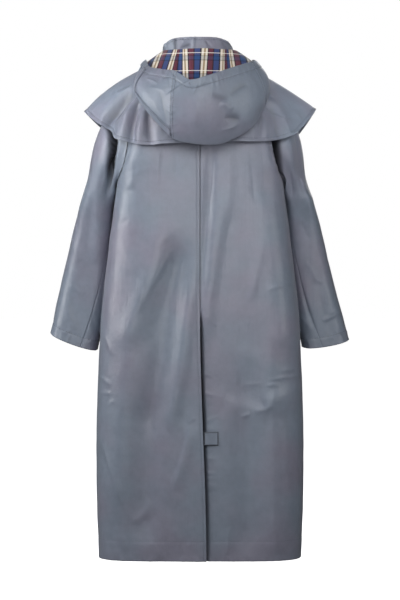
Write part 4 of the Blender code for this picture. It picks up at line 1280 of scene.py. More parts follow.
def coated_cotton():
    """Proofed cotton: a tight plain weave under a thin coat, so it has a satin sheen and faint crinkles."""
    made, tree = new_material("coated_cotton")
    flat = add(tree, "ShaderNodeUVMap", uv_map="cloth").outputs[0]
    place = add(tree, "ShaderNodeTexCoord").outputs["Object"]
    yarns = {"Vector": flat, "Scale": WAVE_SCALE / COTTON_THREAD}
    warp = add(tree, "ShaderNodeTexWave", yarns, bands_direction="X")
    weft = add(tree, "ShaderNodeTexWave", yarns, bands_direction="Y")
    crossing = {0: warp.outputs["Fac"], 1: weft.outputs["Fac"]}
    weave = add(tree, "ShaderNodeMath", crossing, operation="MULTIPLY")
    cast = add(tree, "ShaderNodeTexNoise", {"Vector": place, "Scale": 1 / PATCH, "Detail": 2.0})
    cast_share = add(tree, "ShaderNodeMapRange", {"Value": cast.outputs["Fac"], 1: 0.40, 2: 0.66})
    tones = {0: cast_share.outputs[0], 6: colour("#77808E"), 7: colour("#7C7C8B")}
    tone = add(tree, "ShaderNodeMix", tones, data_type="RGBA")
    mottle = add(tree, "ShaderNodeTexNoise", {"Vector": place, "Scale": 1 / MOTTLE, "Detail": 4.0})
    mottled = {"Value": mottle.outputs["Fac"], 1: 0.3, 2: 0.7}
    lighter = add(tree, "ShaderNodeMapRange", {**mottled, 3: 0.95, 4: 1.05})
    rough = add(tree, "ShaderNodeMapRange", {**mottled, 3: 0.31, 4: 0.42})
    weave_tone = add(tree, "ShaderNodeMapRange", {"Value": weave.outputs[0], 3: 0.96, 4: 1.04})
    # Painted shade: each point's share of it darkens the cloth's colour towards the deepest shade, in seams,
    # folds and hollows
    seam = add(tree, "ShaderNodeAttribute", attribute_name="painted_shade")
    painted_shade_level = add(tree, "ShaderNodeMapRange", {"Value": seam.outputs["Fac"], 3: 1.0, 4: DEEPEST_SHADE})
    level = lighter
    for share in (weave_tone, painted_shade_level):
        factors = {0: level.outputs[0], 1: share.outputs[0]}
        level = add(tree, "ShaderNodeMath", factors, operation="MULTIPLY")
    shaded = {0: tone.outputs[2], 1: level.outputs[0]}
    base = add(tree, "ShaderNodeVectorMath", shaded, operation="MULTIPLY")
    hung = add(tree, "ShaderNodeMapping", {"Vector": place, "Scale": RIDGE_STRETCH}).outputs[0]
    ridge = add(
        tree,
        "ShaderNodeTexNoise",
        {"Vector": hung, "Scale": 1 / RIDGE, "Detail": 3.0, "Roughness": 0.45, "Distortion": 0.4},
        noise_type="RIDGED_MULTIFRACTAL",
        normalize=True,
    )
    drawn = add(tree, "ShaderNodeMapping", {"Vector": place, "Scale": STREAK_STRETCH}).outputs[0]
    streak = add(tree, "ShaderNodeTexNoise", {"Vector": drawn, "Scale": 1 / STREAK, "Detail": 3.0})
    grain = add(tree, "ShaderNodeTexNoise", {"Vector": place, "Scale": 1 / GRAIN, "Detail": 5.0})
    coarsest = {"Strength": 0.30, "Distance": 5.0 * MM, "Height": ridge.outputs["Fac"]}
    relief = add(tree, "ShaderNodeBump", coarsest)
    for height, strength, depth in (
        (streak.outputs["Fac"], 0.36, 2.2 * MM),
        (grain.outputs["Fac"], 0.26, 1.8 * MM),
        (weave.outputs[0], 0.22, 0.3 * MM),
    ):
        finer = {"Strength": strength, "Distance": depth, "Height": height, "Normal": relief.outputs[0]}
        relief = add(tree, "ShaderNodeBump", finer)
    shader = add(
        tree,
        "ShaderNodeBsdfPrincipled",
        {
            "Base Color": base.outputs[0],
            "Roughness": rough.outputs[0],
            "Normal": relief.outputs[0],
            "Sheen Weight": 0.10,
            "Sheen Roughness": 0.4,
            "IOR": 1.42,
        },
    )
    return finish_material(made, tree, shader)


# One repeat of the check: the stripes of its warp across its width, in shares, and the bands of its weft,
# with how far each covers the warp
Stripe = namedtuple("Stripe", "start code cover")
WARP_STRIPES = (
    Stripe(0.00, "#F1EADA", 1.0),
    Stripe(0.11, "#A8946C", 1.0),
    Stripe(0.20, "#F1EADA", 1.0),
    Stripe(0.31, "#12121E", 1.0),
    Stripe(0.36, "#682B3D", 1.0),
    Stripe(0.60, "#12121E", 1.0),
    Stripe(0.66, "#1E4680", 1.0),
    Stripe(0.92, "#12121E", 1.0),
)
WEFT_BANDS = (
    Stripe(0.00, "#5A3444", 0.25),
    Stripe(0.30, "#101828", 0.65),
    Stripe(0.36, "#21426F", 0.45),
    Stripe(0.54, "#101828", 0.60),
    Stripe(0.59, "#5A3444", 0.25),
    Stripe(0.72, "#F6F2E8", 0.85),
    Stripe(0.76, "#5A3444", 0.25),
)
CHECK_REPEAT = 48.0 * MM
# Its threads, drawn coarser than the real 0.6 mm so that they show
CHECK_THREAD = 2.2 * MM


def check_cotton():
    """Brushed cotton woven in a plain check: matt, with threads that mix the colours where they cross."""
    made, tree = new_material("check_cotton")
    flat = add(tree, "ShaderNodeUVMap", uv_map="cloth")
    sides = add(tree, "ShaderNodeSeparateXYZ", {0: flat.outputs[0]})

    def stripes(value, rows):
        share = add(tree, "ShaderNodeMath", {0: value}, operation="FRACT")
        ramp = add(tree, "ShaderNodeValToRGB", {0: share.outputs[0]})
        ramp.color_ramp.interpolation = "CONSTANT"
        for number, row in enumerate(rows):
            if number < 2:
                stop = ramp.color_ramp.elements[number]
                stop.position = row.start
            else:
                stop = ramp.color_ramp.elements.new(row.start)
            stop.color = (*colour(row.code)[:3], row.cover)
        return ramp.outputs

    warp = stripes(sides.outputs[0], WARP_STRIPES)
    weft = stripes(sides.outputs[1], WEFT_BANDS)
    slope = add(tree, "ShaderNodeMath", {0: sides.outputs[0], 1: sides.outputs[1]}, operation="ADD")
    turns = 2 * np.pi * CHECK_REPEAT / CHECK_THREAD
    twill = add(tree, "ShaderNodeMath", {0: slope.outputs[0], 1: turns}, operation="MULTIPLY")
    wave = add(tree, "ShaderNodeMath", {0: twill.outputs[0]}, operation="SINE")
    thinned = add(tree, "ShaderNodeMapRange", {"Value": wave.outputs[0], 1: -1.0, 2: 1.0, 3: 0.75, 4: 1.0})
    cover = add(tree, "ShaderNodeMath", {0: weft["Alpha"], 1: thinned.outputs[0]}, operation="MULTIPLY")
    colours = {0: cover.outputs[0], 6: warp["Color"], 7: weft["Color"]}
    cloth = add(tree, "ShaderNodeMix", colours, data_type="RGBA")
    bump = add(tree, "ShaderNodeBump", {"Strength": 0.25, "Distance": 0.4 * MM, "Height": wave.outputs[0]})
    shader = add(
        tree,
        "ShaderNodeBsdfPrincipled",
        {
            "Base Color": cloth.outputs[2],
            "Roughness": 0.85,
            "Normal": bump.outputs[0],
            "Sheen Weight": 0.2,
            "IOR": 1.45,
        },
    )
    return finish_material(made, tree, shader)


# Sizes of the marks in small things: the thread's twist and the scuffs of a stud
TWIST = 1.111 * MM
SCUFF = 2.857 * MM


def sewing_thread(name, low, high):
    """Spun polyester thread: matt and darker than the cloth, so that each line of stitches can be seen."""
    made, tree = new_material(name)
    place = add(tree, "ShaderNodeTexCoord").outputs["Object"]
    twist = add(tree, "ShaderNodeTexNoise", {"Vector": place, "Scale": 1 / TWIST, "Detail": 1.0})
    tones = {0: twist.outputs["Fac"], 6: colour(low), 7: colour(high)}
    tone = add(tree, "ShaderNodeMix", tones, data_type="RGBA")
    shader = add(tree, "ShaderNodeBsdfPrincipled", {"Base Color": tone.outputs[2], "Roughness": 0.6})
    return finish_material(made, tree, shader)


def stud_metal():
    """Painted brass cap: a smooth satin film with small scuffs."""
    made, tree = new_material("painted_brass_cap")
    place = add(tree, "ShaderNodeTexCoord").outputs["Object"]
    scuff = add(tree, "ShaderNodeTexNoise", {"Vector": place, "Scale": 1 / SCUFF, "Detail": 3.0})
    tones = {0: scuff.outputs["Fac"], 6: colour("#4B505C"), 7: colour("#6A707D")}
    tone = add(tree, "ShaderNodeMix", tones, data_type="RGBA")
    rough = add(tree, "ShaderNodeMapRange", {"Value": scuff.outputs["Fac"], 3: 0.25, 4: 0.45})
    metal = {"Base Color": tone.outputs[2], "Roughness": rough.outputs[0], "Metallic": 0.6}
    shader = add(tree, "ShaderNodeBsdfPrincipled", metal)
    return finish_material(made, tree, shader)


def studio_white():
    """The stage's own white, which gives off as much light as it needs to vanish into the surround."""
    made, tree = new_material("studio_white")
    shader = add(
        tree,
        "ShaderNodeBsdfPrincipled",
        {
            "Base Color": colour("#FFFFFF"),
            "Roughness": 0.9,
            "Emission Color": colour("#FFFFFF"),
            "Emission Strength": 1.0,
        },
    )
    return finish_material(made, tree, shader)


def make_camera():
    data = bpy.data.cameras.new("photo_view")
    data.sensor_fit = "VERTICAL"
    data.sensor_width = SENSOR_MM
    data.sensor_height = SENSOR_MM
    data.lens = LENS_MM
    made = link(bpy.data.objects.new("photo_view", data))
    made.location = CAMERA_PLACE
    made.rotation_euler = (np.radians(90.0), 0.0, 0.0)
    bpy.context.scene.camera = made


# White area lamps: a strong one from the left, weaker ones from the camera's side and the right, small ones
# for single places, and one for the front
Lamp = namedtuple("Lamp", "name place aim width height spread watts")
LAMPS = (
    Lamp("left_broad", (-1.88, -0.68, 0.1), (0.0, 0.0, -0.3), 1.2, 1.2, 180.0, 35.0),
    Lamp("middle_soft", (0.0, -2.0, 0.0), (0.0, 0.0, -0.4), 1.2, 1.0, 180.0, 12.4),
    Lamp("middle_near", (0.0, -1.5, 0.2), (0.0, 0.0, -0.3), 1.0, 0.6, 180.0, 3.9),
    Lamp("camera_low", (0.0, -3.6, -1.0), (0.0, 0.0, -0.8), 2.0, 1.0, 180.0, 6.2),
    Lamp("right_low", (1.53, -1.29, -0.2), (0.0, 0.0, -0.4), 1.0, 1.0, 180.0, 10.5),
    Lamp("left_sleeve", (-0.9, -0.7, 0.1), (-0.27, 0.0, -0.25), 0.3, 0.3, 60.0, 0.17),
    Lamp("left_cape", (-0.8, -0.7, 0.35), (-0.25, 0.0, -0.12), 0.2, 0.2, 30.0, 0.18),
    Lamp("collar_top", (-0.3, -0.9, 0.9), (0.0, -0.06, 0.03), 0.2, 0.2, 25.0, 0.05),
    Lamp("right_cape", (0.9, -0.7, 0.35), (0.26, 0.0, -0.12), 0.2, 0.2, 30.0, 0.15),
    Lamp("front_soft", (0.6, 3.4, 1.2), (0.0, 0.0, -0.6), 2.2, 2.2, 180.0, 40.0),
)
WORLD_LIGHT = 0.05
FLOOR_BELOW = 0.06
FLOOR_REACH = 60.0


def make_stage():
    """A white floor that runs into a white surround, and soft lamps."""
    reach = FLOOR_REACH
    corners = ((-reach, -reach), (reach, -reach), (reach, reach), (-reach, reach))
    mesh = bpy.data.meshes.new("studio_floor")
    mesh.from_pydata([(x, y, HEM - FLOOR_BELOW) for x, y in corners], [], [(0, 1, 2, 3)])
    mesh.materials.append(studio_white())
    floor = link(bpy.data.objects.new("studio_floor", mesh))
    floor.visible_diffuse = False
    floor.visible_glossy = False
    world = bpy.data.worlds.new("white_surround")
    world.use_nodes = True
    tree = world.node_tree
    tree.nodes.clear()
    seen = add(tree, "ShaderNodeLightPath")
    levels = {"Value": seen.outputs["Is Camera Ray"], "To Min": WORLD_LIGHT, "To Max": 1.0}
    level = add(tree, "ShaderNodeMapRange", levels)
    light = add(tree, "ShaderNodeBackground", {"Color": colour("#FFFFFF"), "Strength": level.outputs[0]})
    add(tree, "ShaderNodeOutputWorld", {"Surface": light.outputs[0]})
    bpy.context.scene.world = world
    bpy.context.scene.view_settings.view_transform = "Standard"
    for lamp in LAMPS:
        data = bpy.data.lights.new(lamp.name, "AREA")
        data.shape = "RECTANGLE"
        data.size = lamp.width
        data.size_y = lamp.height
        data.spread = np.radians(lamp.spread)
        data.energy = lamp.watts
        made = link(bpy.data.objects.new(lamp.name, data))
        made.visible_camera = False
        made.location = lamp.place
        aim = np.array(lamp.aim) - np.array(lamp.place)
        away = np.hypot(aim[0], aim[1])
        made.rotation_euler = (np.arctan2(away, -aim[2]), 0.0, np.arctan2(-aim[0], aim[1]))


def body_rows(count):
    """Rows from hem to neck, spaced evenly on the cloth."""
    yoke = int(count * YOKE_SHARE)
    return np.concatenate([steps(0.0, 1.0, count - yoke)[:-1], steps(1.0, 2.0 - BODY_SEAM, yoke)])


# Stripes of the hood's lining: where the middle of each cream stripe lies at its top and its foot; two of
# them lie close to the next, because the cloth between is folded away
LiningStripe = namedtuple("LiningStripe", "top_x foot_x")
LINING_STRIPES = (
    LiningStripe(-0.148, -0.166),
    LiningStripe(-0.100, -0.116),
    LiningStripe(-0.061, -0.076),
    LiningStripe(-0.039, -0.036),
    LiningStripe(0.012, 0.008),
    LiningStripe(0.058, 0.056),
    LiningStripe(0.074, 0.080),
    LiningStripe(0.120, 0.132),
)
# Where the middle of the cream lies in a repeat of the warp
CREAM_MIDDLE = 0.155
# Heights of the top and foot of the part that shows, how far the stripes' lines run on past them in shares
# of that height, up to which angle the table holds, how long a degree is past it, and where the weft starts
LINING_SHOWN_TOP = 0.010
LINING_SHOWN_FOOT = -0.045
LINING_RUN = (-0.5, 2.0)
LINING_BACK_ANGLE = 70.0
LINING_DEGREE = 0.0021
WEFT_START = 0.62


def lining_pattern(u, v, points):
    """The check's coordinates: stripes follow the table on the back, and run evenly round the sides."""
    shown = LINING_SHOWN_TOP - LINING_SHOWN_FOOT
    fall = np.clip((LINING_SHOWN_TOP - points[..., 2]) / shown, *LINING_RUN)
    past = np.abs(u) - np.clip(np.abs(u), 0.0, LINING_BACK_ANGLE)
    x = points[..., 0] + np.sign(u) * past * LINING_DEGREE
    middles = [stripe.top_x + fall * (stripe.foot_x - stripe.top_x) for stripe in LINING_STRIPES]
    pairs = zip(middles, middles[1:])
    across = sum(np.clip((x - left) / (right - left), 0.0, 1.0) for left, right in pairs)
    across += (np.minimum(x - middles[0], 0.0) + np.maximum(x - middles[-1], 0.0)) / CHECK_REPEAT
    return np.stack([across + CREAM_MIDDLE, points[..., 2] / CHECK_REPEAT + WEFT_START], axis=-1)


# Shares of the deepest shade, for folds too narrow for the light to show: in the centre back seam, at the
# vent tab's edge, in a sleeve's tuck (cut off at 1), in the armhole's seam and in hollows
SEAM_SHADE = 0.31
TAB_SHADE = 1.0
TUCK_SHADE = 1.8
ARMHOLE_SHADE = 1.0
HOLLOW_SHADE = 0.45
# How wide these shades are: the armhole's seam, a tuck against its own width, the tab's edge in shares of
# the tab, and how the vent's shade starts below its top and fills as the vent opens
ARMHOLE_SHADE_WIDTH = 0.0035
TUCK_SHADE_SPREAD = 1.2
TAB_SHADE_EDGE = 0.10
VENT_SHADE_START = 0.04
VENT_SHADE_OPEN = 0.5
# Depth of hollow that takes the whole of its shade
CAPE_HOLLOW = 0.013
SMALL_HOLLOW = 0.004

# Limits of each piece's two coordinates, and its cloth
CREASES_BY_SLEEVE = {"sleeve_left": SLEEVE_LEFT_BACK_CREASES, "sleeve_right": SLEEVE_RIGHT_BACK_CREASES}
LEFT_LIMITS = (-1.0 + BODY_SEAM, -BODY_SEAM, 0.0, 2.0 - BODY_SEAM)
RIGHT_LIMITS = (-BACK_LAP, 1.0 - BODY_SEAM, 0.0, 2.0 - BODY_SEAM)
FRONT_LEFT_LIMITS = (-2.0 + BODY_SEAM, -1.0 - BODY_SEAM, 0.0, 2.0 - BODY_SEAM)
FRONT_RIGHT_LIMITS = (1.0 + BODY_SEAM, 2.0 - BODY_SEAM, 0.0, 2.0 - BODY_SEAM)
SLEEVE_LIMITS = (0.0, 1.0 + SLEEVE_LAP, 0.0, 1.0)
CAPE_END = CAPE_HEM[-1].angle
CAPE_LIMITS = (-CAPE_END, CAPE_END, 0.0, 1.0)
HOOD_LIMITS = (-HOOD_END, HOOD_END, 0.0, 1.0)
COLLAR_LIMITS = (-COLLAR_FRONT_ANGLE, COLLAR_FRONT_ANGLE, 0.0, 1.0)

BACK_LEFT_CLOTH = dressed(back_left, LEFT_LIMITS, back_panel_relief(BACK_LEFT_CREASES, -1.0))
BACK_RIGHT_CLOTH = dressed(back_right, RIGHT_LIMITS, back_panel_relief(BACK_RIGHT_CREASES, 1.0))
FRONT_LEFT_CLOTH = dressed(
    front, FRONT_LEFT_LIMITS, front_panel_relief(FRONT_LEFT_CREASES, BACK_LEFT_CREASES)
)
FRONT_RIGHT_CLOTH = dressed(
    front, FRONT_RIGHT_LIMITS, front_panel_relief(FRONT_RIGHT_CREASES, BACK_RIGHT_CREASES)
)
BODY_CLOTHS = (
    (BACK_LEFT_CLOTH, LEFT_LIMITS),
    (BACK_RIGHT_CLOTH, RIGHT_LIMITS),
    (FRONT_LEFT_CLOTH, FRONT_LEFT_LIMITS),
    (FRONT_RIGHT_CLOTH, FRONT_RIGHT_LIMITS),
)
PLACKET = moved_out(body, PLACKET_OUT)
PLACKET_LIMITS = (2.0 - PLACKET_HALF, 2.0 + PLACKET_HALF, 0.0, PLACKET_TOP)
WELT = moved_out(body, SEAM_GAP + CLOTH)
CAPE_CLOTH = dressed(cape, CAPE_LIMITS, cape_relief)
HOOD_CLOTH = dressed(hood, HOOD_LIMITS, hood_relief)
ON_HOOD = moved_out(HOOD_CLOTH, HOOD_TRIM_OUT, HOOD_LIMITS)
COLLAR_CLOTH = dressed(collar, COLLAR_LIMITS, collar_relief)
LINING_SURFACE = dressed(hood_lining, HOOD_LIMITS, lining_relief)
SLEEVE_CLOTHS = {
    hang.name: dressed(sleeve(hang), SLEEVE_LIMITS, sleeve_relief(hang, CREASES_BY_SLEEVE[hang.name]))
    for hang in SLEEVE_HANGS
}


def back_seam_shade(u, v, points):
    """Painted shade in the fold of the centre back seam, and most of all inside the vent."""
    x = points[..., 0]
    z = points[..., 2]
    below = ease((VENT_TOP - z) / VENT_SHADE_START)
    seam = SEAM_SHADE * hump(x, STITCH_PULL) * ease((z - VENT_TOP) / VENT_BLEND + 0.5)
    open_vent = np.interp(z, *zip(*VENT_GAP)) / max(row.depth for row in VENT_GAP)
    inside = ease(open_vent / VENT_SHADE_OPEN) * below * hump(x - vent_edge(z), VENT_GAP_WIDTH)
    return np.maximum(seam, inside * (u > -BODY_SEAM))


def sleeve_shade(hang):
    """Painted shade inside the tuck behind the armhole, and in the armhole's seam."""
    plain = sleeve(hang)
    tuck = TUCKS[hang.name]

    def shade(u, v, points):
        smooth = plain(u, v)
        head = gap_between(smooth, plain(u, np.ones_like(v)))
        away, left = tuck_line(smooth, head, tuck)
        inside = np.minimum(TUCK_SHADE * hump(away, TUCK_SHADE_SPREAD * tuck.width), 1.0) * left
        seam = ARMHOLE_SHADE * hump(head, ARMHOLE_SHADE_WIDTH)
        return np.maximum(inside, seam) * facing(outward(plain, u, v, SLEEVE_LIMITS), BACK)

    return shade


def hollow_shade(creases, full_depth):
    """Darker in the hollows of a table of creases, which are too fine for the light to show."""

    def shade(u, v, points):
        return HOLLOW_SHADE * np.clip(-crease_relief(points, creases) / full_depth, 0.0, 1.0)

    return shade


def edge_shade(u, v, points):
    """Painted shade along the stitched edge of a small piece."""
    columns = np.minimum(u - u.min(), u.max() - u) / (u.max() - u.min())
    rows = np.minimum(v - v.min(), v.max() - v) / (v.max() - v.min())
    return TAB_SHADE * (1 - ease(np.minimum(columns, rows) / TAB_SHADE_EDGE))


def hang_up(cloth, node):
    """A piece of cloth takes the place of the solid of the same form."""
    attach(cloth.piece, "root")
    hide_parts(node)


def make_body(finish):
    for node, surface, limits, columns, rows in (
        ("back_left", BACK_LEFT_CLOTH, LEFT_LIMITS, BACK_COLUMNS, BACK_ROWS),
        ("back_right", BACK_RIGHT_CLOTH, RIGHT_LIMITS, BACK_COLUMNS, BACK_ROWS),
        ("front_left", FRONT_LEFT_CLOTH, FRONT_LEFT_LIMITS, FRONT_COLUMNS, FRONT_ROWS),
        ("front_right", FRONT_RIGHT_CLOTH, FRONT_RIGHT_LIMITS, FRONT_COLUMNS, FRONT_ROWS),
    ):
        around = steps(limits[0], limits[1], columns)
        cloth = shell(node + "_cloth", surface, around, body_rows(rows), finish, seam=back_seam_shade)
        hang_up(cloth, node)


def tab_edges():
    """The body's coordinates at the vent tab's left and right edges."""
    edge = float(vent_edge(np.array(TAB_HEIGHT))) + CLOTH
    return share_at(edge, TAB_HEIGHT), share_at(edge + TAB_WIDTH, TAB_HEIGHT)


def tab(around, up):
    """The vent tab, which stands off the body most at its left end, over the vent."""
    left, right = tab_edges()
    lift = TAB_LIFT * (1 - ease((around - left) / (right - left))) + SEAM_GAP + CLOTH
    return body(around, up) + lift[..., None] * outward(body, around, up)


def make_trim(finish):
    """The small pieces of the same cloth: underlap, vent tab, placket and pocket welts."""
    width = share_at(VENT_UNDERLAP_WIDTH, VENT_TOP)
    around = steps(-width, -VENT_UNDERLAP_GAP, UNDERLAP_COLUMNS)
    rows = steps(VENT_UNDERLAP_RISE, up_at(VENT_TOP), UNDERLAP_ROWS)
    hang_up(shell("vent_underlap_cloth", vent_underlap, around, rows, finish), "vent_underlap")
    around = steps(*tab_edges(), TAB_COLUMNS)
    rows = steps(up_at(TAB_HEIGHT - TAB_DROP / 2), up_at(TAB_HEIGHT + TAB_DROP / 2), TAB_ROWS)
    hang_up(shell("vent_tab_cloth", tab, around, rows, finish, seam=edge_shade), "vent_tab")
    around = steps(*PLACKET_LIMITS[:2], PLACKET_COLUMNS)
    rows = steps(0.0, PLACKET_TOP, PLACKET_ROWS)
    hang_up(shell("front_placket_cloth", PLACKET, around, rows, finish), "front_placket")
    seam, beside = body(np.array([1.0, 1.0 + WELT_PROBE]), np.full(2, up_at(WELT_TOP)))
    half = WELT_PROBE * WELT_HALF_WIDTH / np.linalg.norm(beside - seam)
    rows = steps(up_at(WELT_FOOT), up_at(WELT_TOP), WELT_ROWS)
    for side, node in ((-1.0, "pocket_welt_left"), (1.0, "pocket_welt_right")):
        around = steps(side - half, side + half, WELT_COLUMNS)
        hang_up(shell(node + "_cloth", WELT, around, rows, finish), node)


def make_sleeves(finish):
    around = steps(0.0, 1.0 + SLEEVE_LAP, SLEEVE_COLUMNS)
    along = steps(0.0, 1.0, SLEEVE_ROWS)
    for hang in SLEEVE_HANGS:
        surface = SLEEVE_CLOTHS[hang.name]
        cloth = shell(hang.name + "_cloth", surface, around, along, finish, seam=sleeve_shade(hang))
        hang_up(cloth, hang.name)


def make_cape_and_collar(finish):
    around = steps(-CAPE_END, CAPE_END, CAPE_COLUMNS)
    rows = steps(0.0, 1.0, CAPE_ROWS) ** CAPE_ROW_POWER
    shade = hollow_shade(CAPE_BACK_CREASES, CAPE_HOLLOW)
    hang_up(shell("cape_cloth", CAPE_CLOTH, around, rows, finish, seam=shade), "cape")
    around = steps(-COLLAR_FRONT_ANGLE, COLLAR_FRONT_ANGLE, COLLAR_COLUMNS)
    shade = hollow_shade(COLLAR_CREASES, SMALL_HOLLOW)
    rows = steps(0.0, 1.0, COLLAR_ROWS)
    hang_up(shell("collar_cloth", COLLAR_CLOTH, around, rows, finish, seam=shade), "collar")


def make_hood(finish, lining):
    rows = steps(0.0, 1.0, HOOD_ROWS)
    shade = hollow_shade(HOOD_CREASES, SMALL_HOLLOW)
    for panel in HOOD_PANELS:
        around = steps(panel.start, panel.end, panel.columns)
        hang_up(shell(panel.name + "_cloth", HOOD_CLOTH, around, rows, finish, seam=shade), panel.name)
    around = steps(-HOOD_END, HOOD_END, LINING_COLUMNS)
    rows = steps(0.0, 1.0, LINING_ROWS)
    inside = shell("hood_lining_cloth", LINING_SURFACE, around, rows, lining, LINING_CLOTH, lining_pattern)
    hang_up(inside, "hood_lining")
    around = steps(*HOOD_BAND_ANGLES, BAND_COLUMNS)
    rows = steps(*HOOD_BAND_RUN, BAND_ROWS)
    hang_up(shell("hood_side_band_cloth", ON_HOOD, around, rows, finish), "hood_side_band")
    around = steps(*TURN_BACK_ANGLES, TURN_BACK_COLUMNS)
    rows = steps(*TURN_BACK_RUN, TURN_BACK_ROWS)
    hang_up(shell("hood_turn_back_cloth", ON_HOOD, around, rows, finish), "hood_turn_back")


# Stitches: how far apart and how long, half a stitch in shares of that from shortest to longest, the
# thread's radius, drawn thicker so that it shows, how far its middle is raised in shares of the radius, and
# how far each line keeps from its edge or seam
STITCH_PITCH = 4.2 * MM
STITCH_LENGTH = 3.1 * MM
STITCH_UNEVEN = (0.42, 0.54)
THREAD_RADIUS = 0.60 * MM
THREAD_RAISED = 0.4
EDGE_STITCH = 7.0 * MM
SEAM_STITCH = 4.0 * MM
TAB_STITCH = 3.0 * MM
WELT_STITCH = 9.0 * MM
# How finely a path is divided, on long and short pieces, and how far in the cloth's stretch is read
PATH_STEPS = 160
SHORT_STEPS = 40
TAB_STEPS = 12
PROBE = 0.01
# Limits for the stitches beside the pockets' seams, which set how far in their cloth is read
WELT_LIMITS = (0.0, 1.0, 0.0, 1.0)
# Where lines of stitches start and end, in the coordinates of their pieces
BACK_STITCH_RUN = (0.004, 1.80)
ARMHOLE_STITCH_RUN = (1.02, 1.93)
PLACKET_STITCH_START = 0.01
CAPE_STITCH_RUN = (0.03, 0.98)
HOOD_STITCH_RUN = (0.03, 0.97)
CUFF_STITCH_RUN = (0.01, 1.0)
BAND_STITCH_IN = 0.02
CAPE_STITCH_END = CAPE_END - 1.0
HOOD_STITCH_END = HOOD_END - 1.0
COLLAR_STITCH_END = COLLAR_FRONT_ANGLE - 2.0
# Bar tacks at the ends of the pockets: how far from the seam, how long, and how many rows how close together
BARTACK_IN = 0.012
BARTACK_LENGTH = 10.0 * MM
BARTACK_ROWS = 5
BARTACK_PITCH = 0.7 * MM


def by_edge(surface, limits, around, edge, distance):
    """A line of stitches that keeps its distance from the lower (0) or upper edge of a piece."""
    inward = PROBE if edge < 0.5 * (limits[2] + limits[3]) else -PROBE
    at_edge = np.full(around.shape, edge)
    speed = gap_between(surface(around, at_edge + inward), surface(around, at_edge)) / inward
    return sewn(surface, limits, around, edge + distance / speed)


def by_seam(surface, limits, up, seam, distance):
    """A line of stitches that keeps its distance from a seam up a piece, to its left if negative."""
    turn = PROBE * (limits[1] - limits[0]) * np.sign(distance)
    at_seam = np.full(up.shape, seam)
    speed = gap_between(surface(at_seam + turn, up), surface(at_seam, up)) / abs(turn)
    return sewn(surface, limits, seam + distance / speed, up)


def sewn(surface, limits, around, up):
    """Points of a path on the cloth, raised so that part of the thread stands out of it."""
    return surface(around, up) + THREAD_RAISED * THREAD_RADIUS * outward(surface, around, up, limits)


def bartack(surface, limits, around, up):
    """Rows of close stitches across a seam at one place."""
    place = surface(np.array([around]), np.array([up]))[0]
    normal = outward(surface, np.array([around]), np.array([up]), limits)[0]
    across = unit(np.cross([0.0, 0.0, 1.0], normal))
    rise = np.cross(normal, across)
    ends = np.array([[-0.5], [0.5]]) * BARTACK_LENGTH * across
    rows = (np.arange(BARTACK_ROWS) - BARTACK_ROWS / 2) * BARTACK_PITCH
    return [place + ends + row * rise + THREAD_RADIUS * normal for row in rows]


def body_stitches():
    """Hem, centre back and vent, armholes, placket, tab and pockets."""
    up = steps(*BACK_STITCH_RUN, 2 * PATH_STEPS)
    paths = [by_seam(BACK_LEFT_CLOTH, LEFT_LIMITS, up, -BODY_SEAM, -EDGE_STITCH)]
    up = steps(*ARMHOLE_STITCH_RUN, PATH_STEPS)
    for surface, limits in BODY_CLOTHS:
        around = steps(limits[0], limits[1], PATH_STEPS)
        paths.append(by_edge(surface, limits, around, 0.0, BODY_HEM.depth))
        armhole = min(limits[:2], key=lambda end: abs(abs(end) - 1))
        inward = np.sign(sum(limits[:2]) / 2 - armhole)
        paths.append(by_seam(surface, limits, up, armhole, inward * EDGE_STITCH))
    up = steps(PLACKET_STITCH_START, PLACKET_TOP, 2 * PATH_STEPS)
    for side in (-1, 1):
        seam = 2.0 + side * PLACKET_HALF
        paths.append(by_seam(PLACKET, PLACKET_LIMITS, up, seam, -side * EDGE_STITCH))
    left, right = tab_edges()
    foot, top = up_at(TAB_HEIGHT - TAB_DROP / 2), up_at(TAB_HEIGHT + TAB_DROP / 2)
    end = right - (right - left) * TAB_STITCH / TAB_WIDTH
    inset = (top - foot) * TAB_STITCH / TAB_DROP
    corners = ((left, foot + inset), (end, foot + inset), (end, top - inset), (left, top - inset))
    for (around0, up0), (around1, up1) in zip(corners, corners[1:]):
        paths.append(sewn(tab, NO_LIMITS, steps(around0, around1, TAB_STEPS), steps(up0, up1, TAB_STEPS)))
    rows = steps(up_at(WELT_FOOT), up_at(WELT_TOP), SHORT_STEPS)
    for side in (-1.0, 1.0):
        for height in (WELT_FOOT, WELT_TOP):
            paths.extend(bartack(WELT, NO_LIMITS, side - BARTACK_IN, up_at(height)))
        for away in (-WELT_STITCH, WELT_STITCH):
            paths.append(by_seam(WELT, WELT_LIMITS, rows, side, away))
    return paths


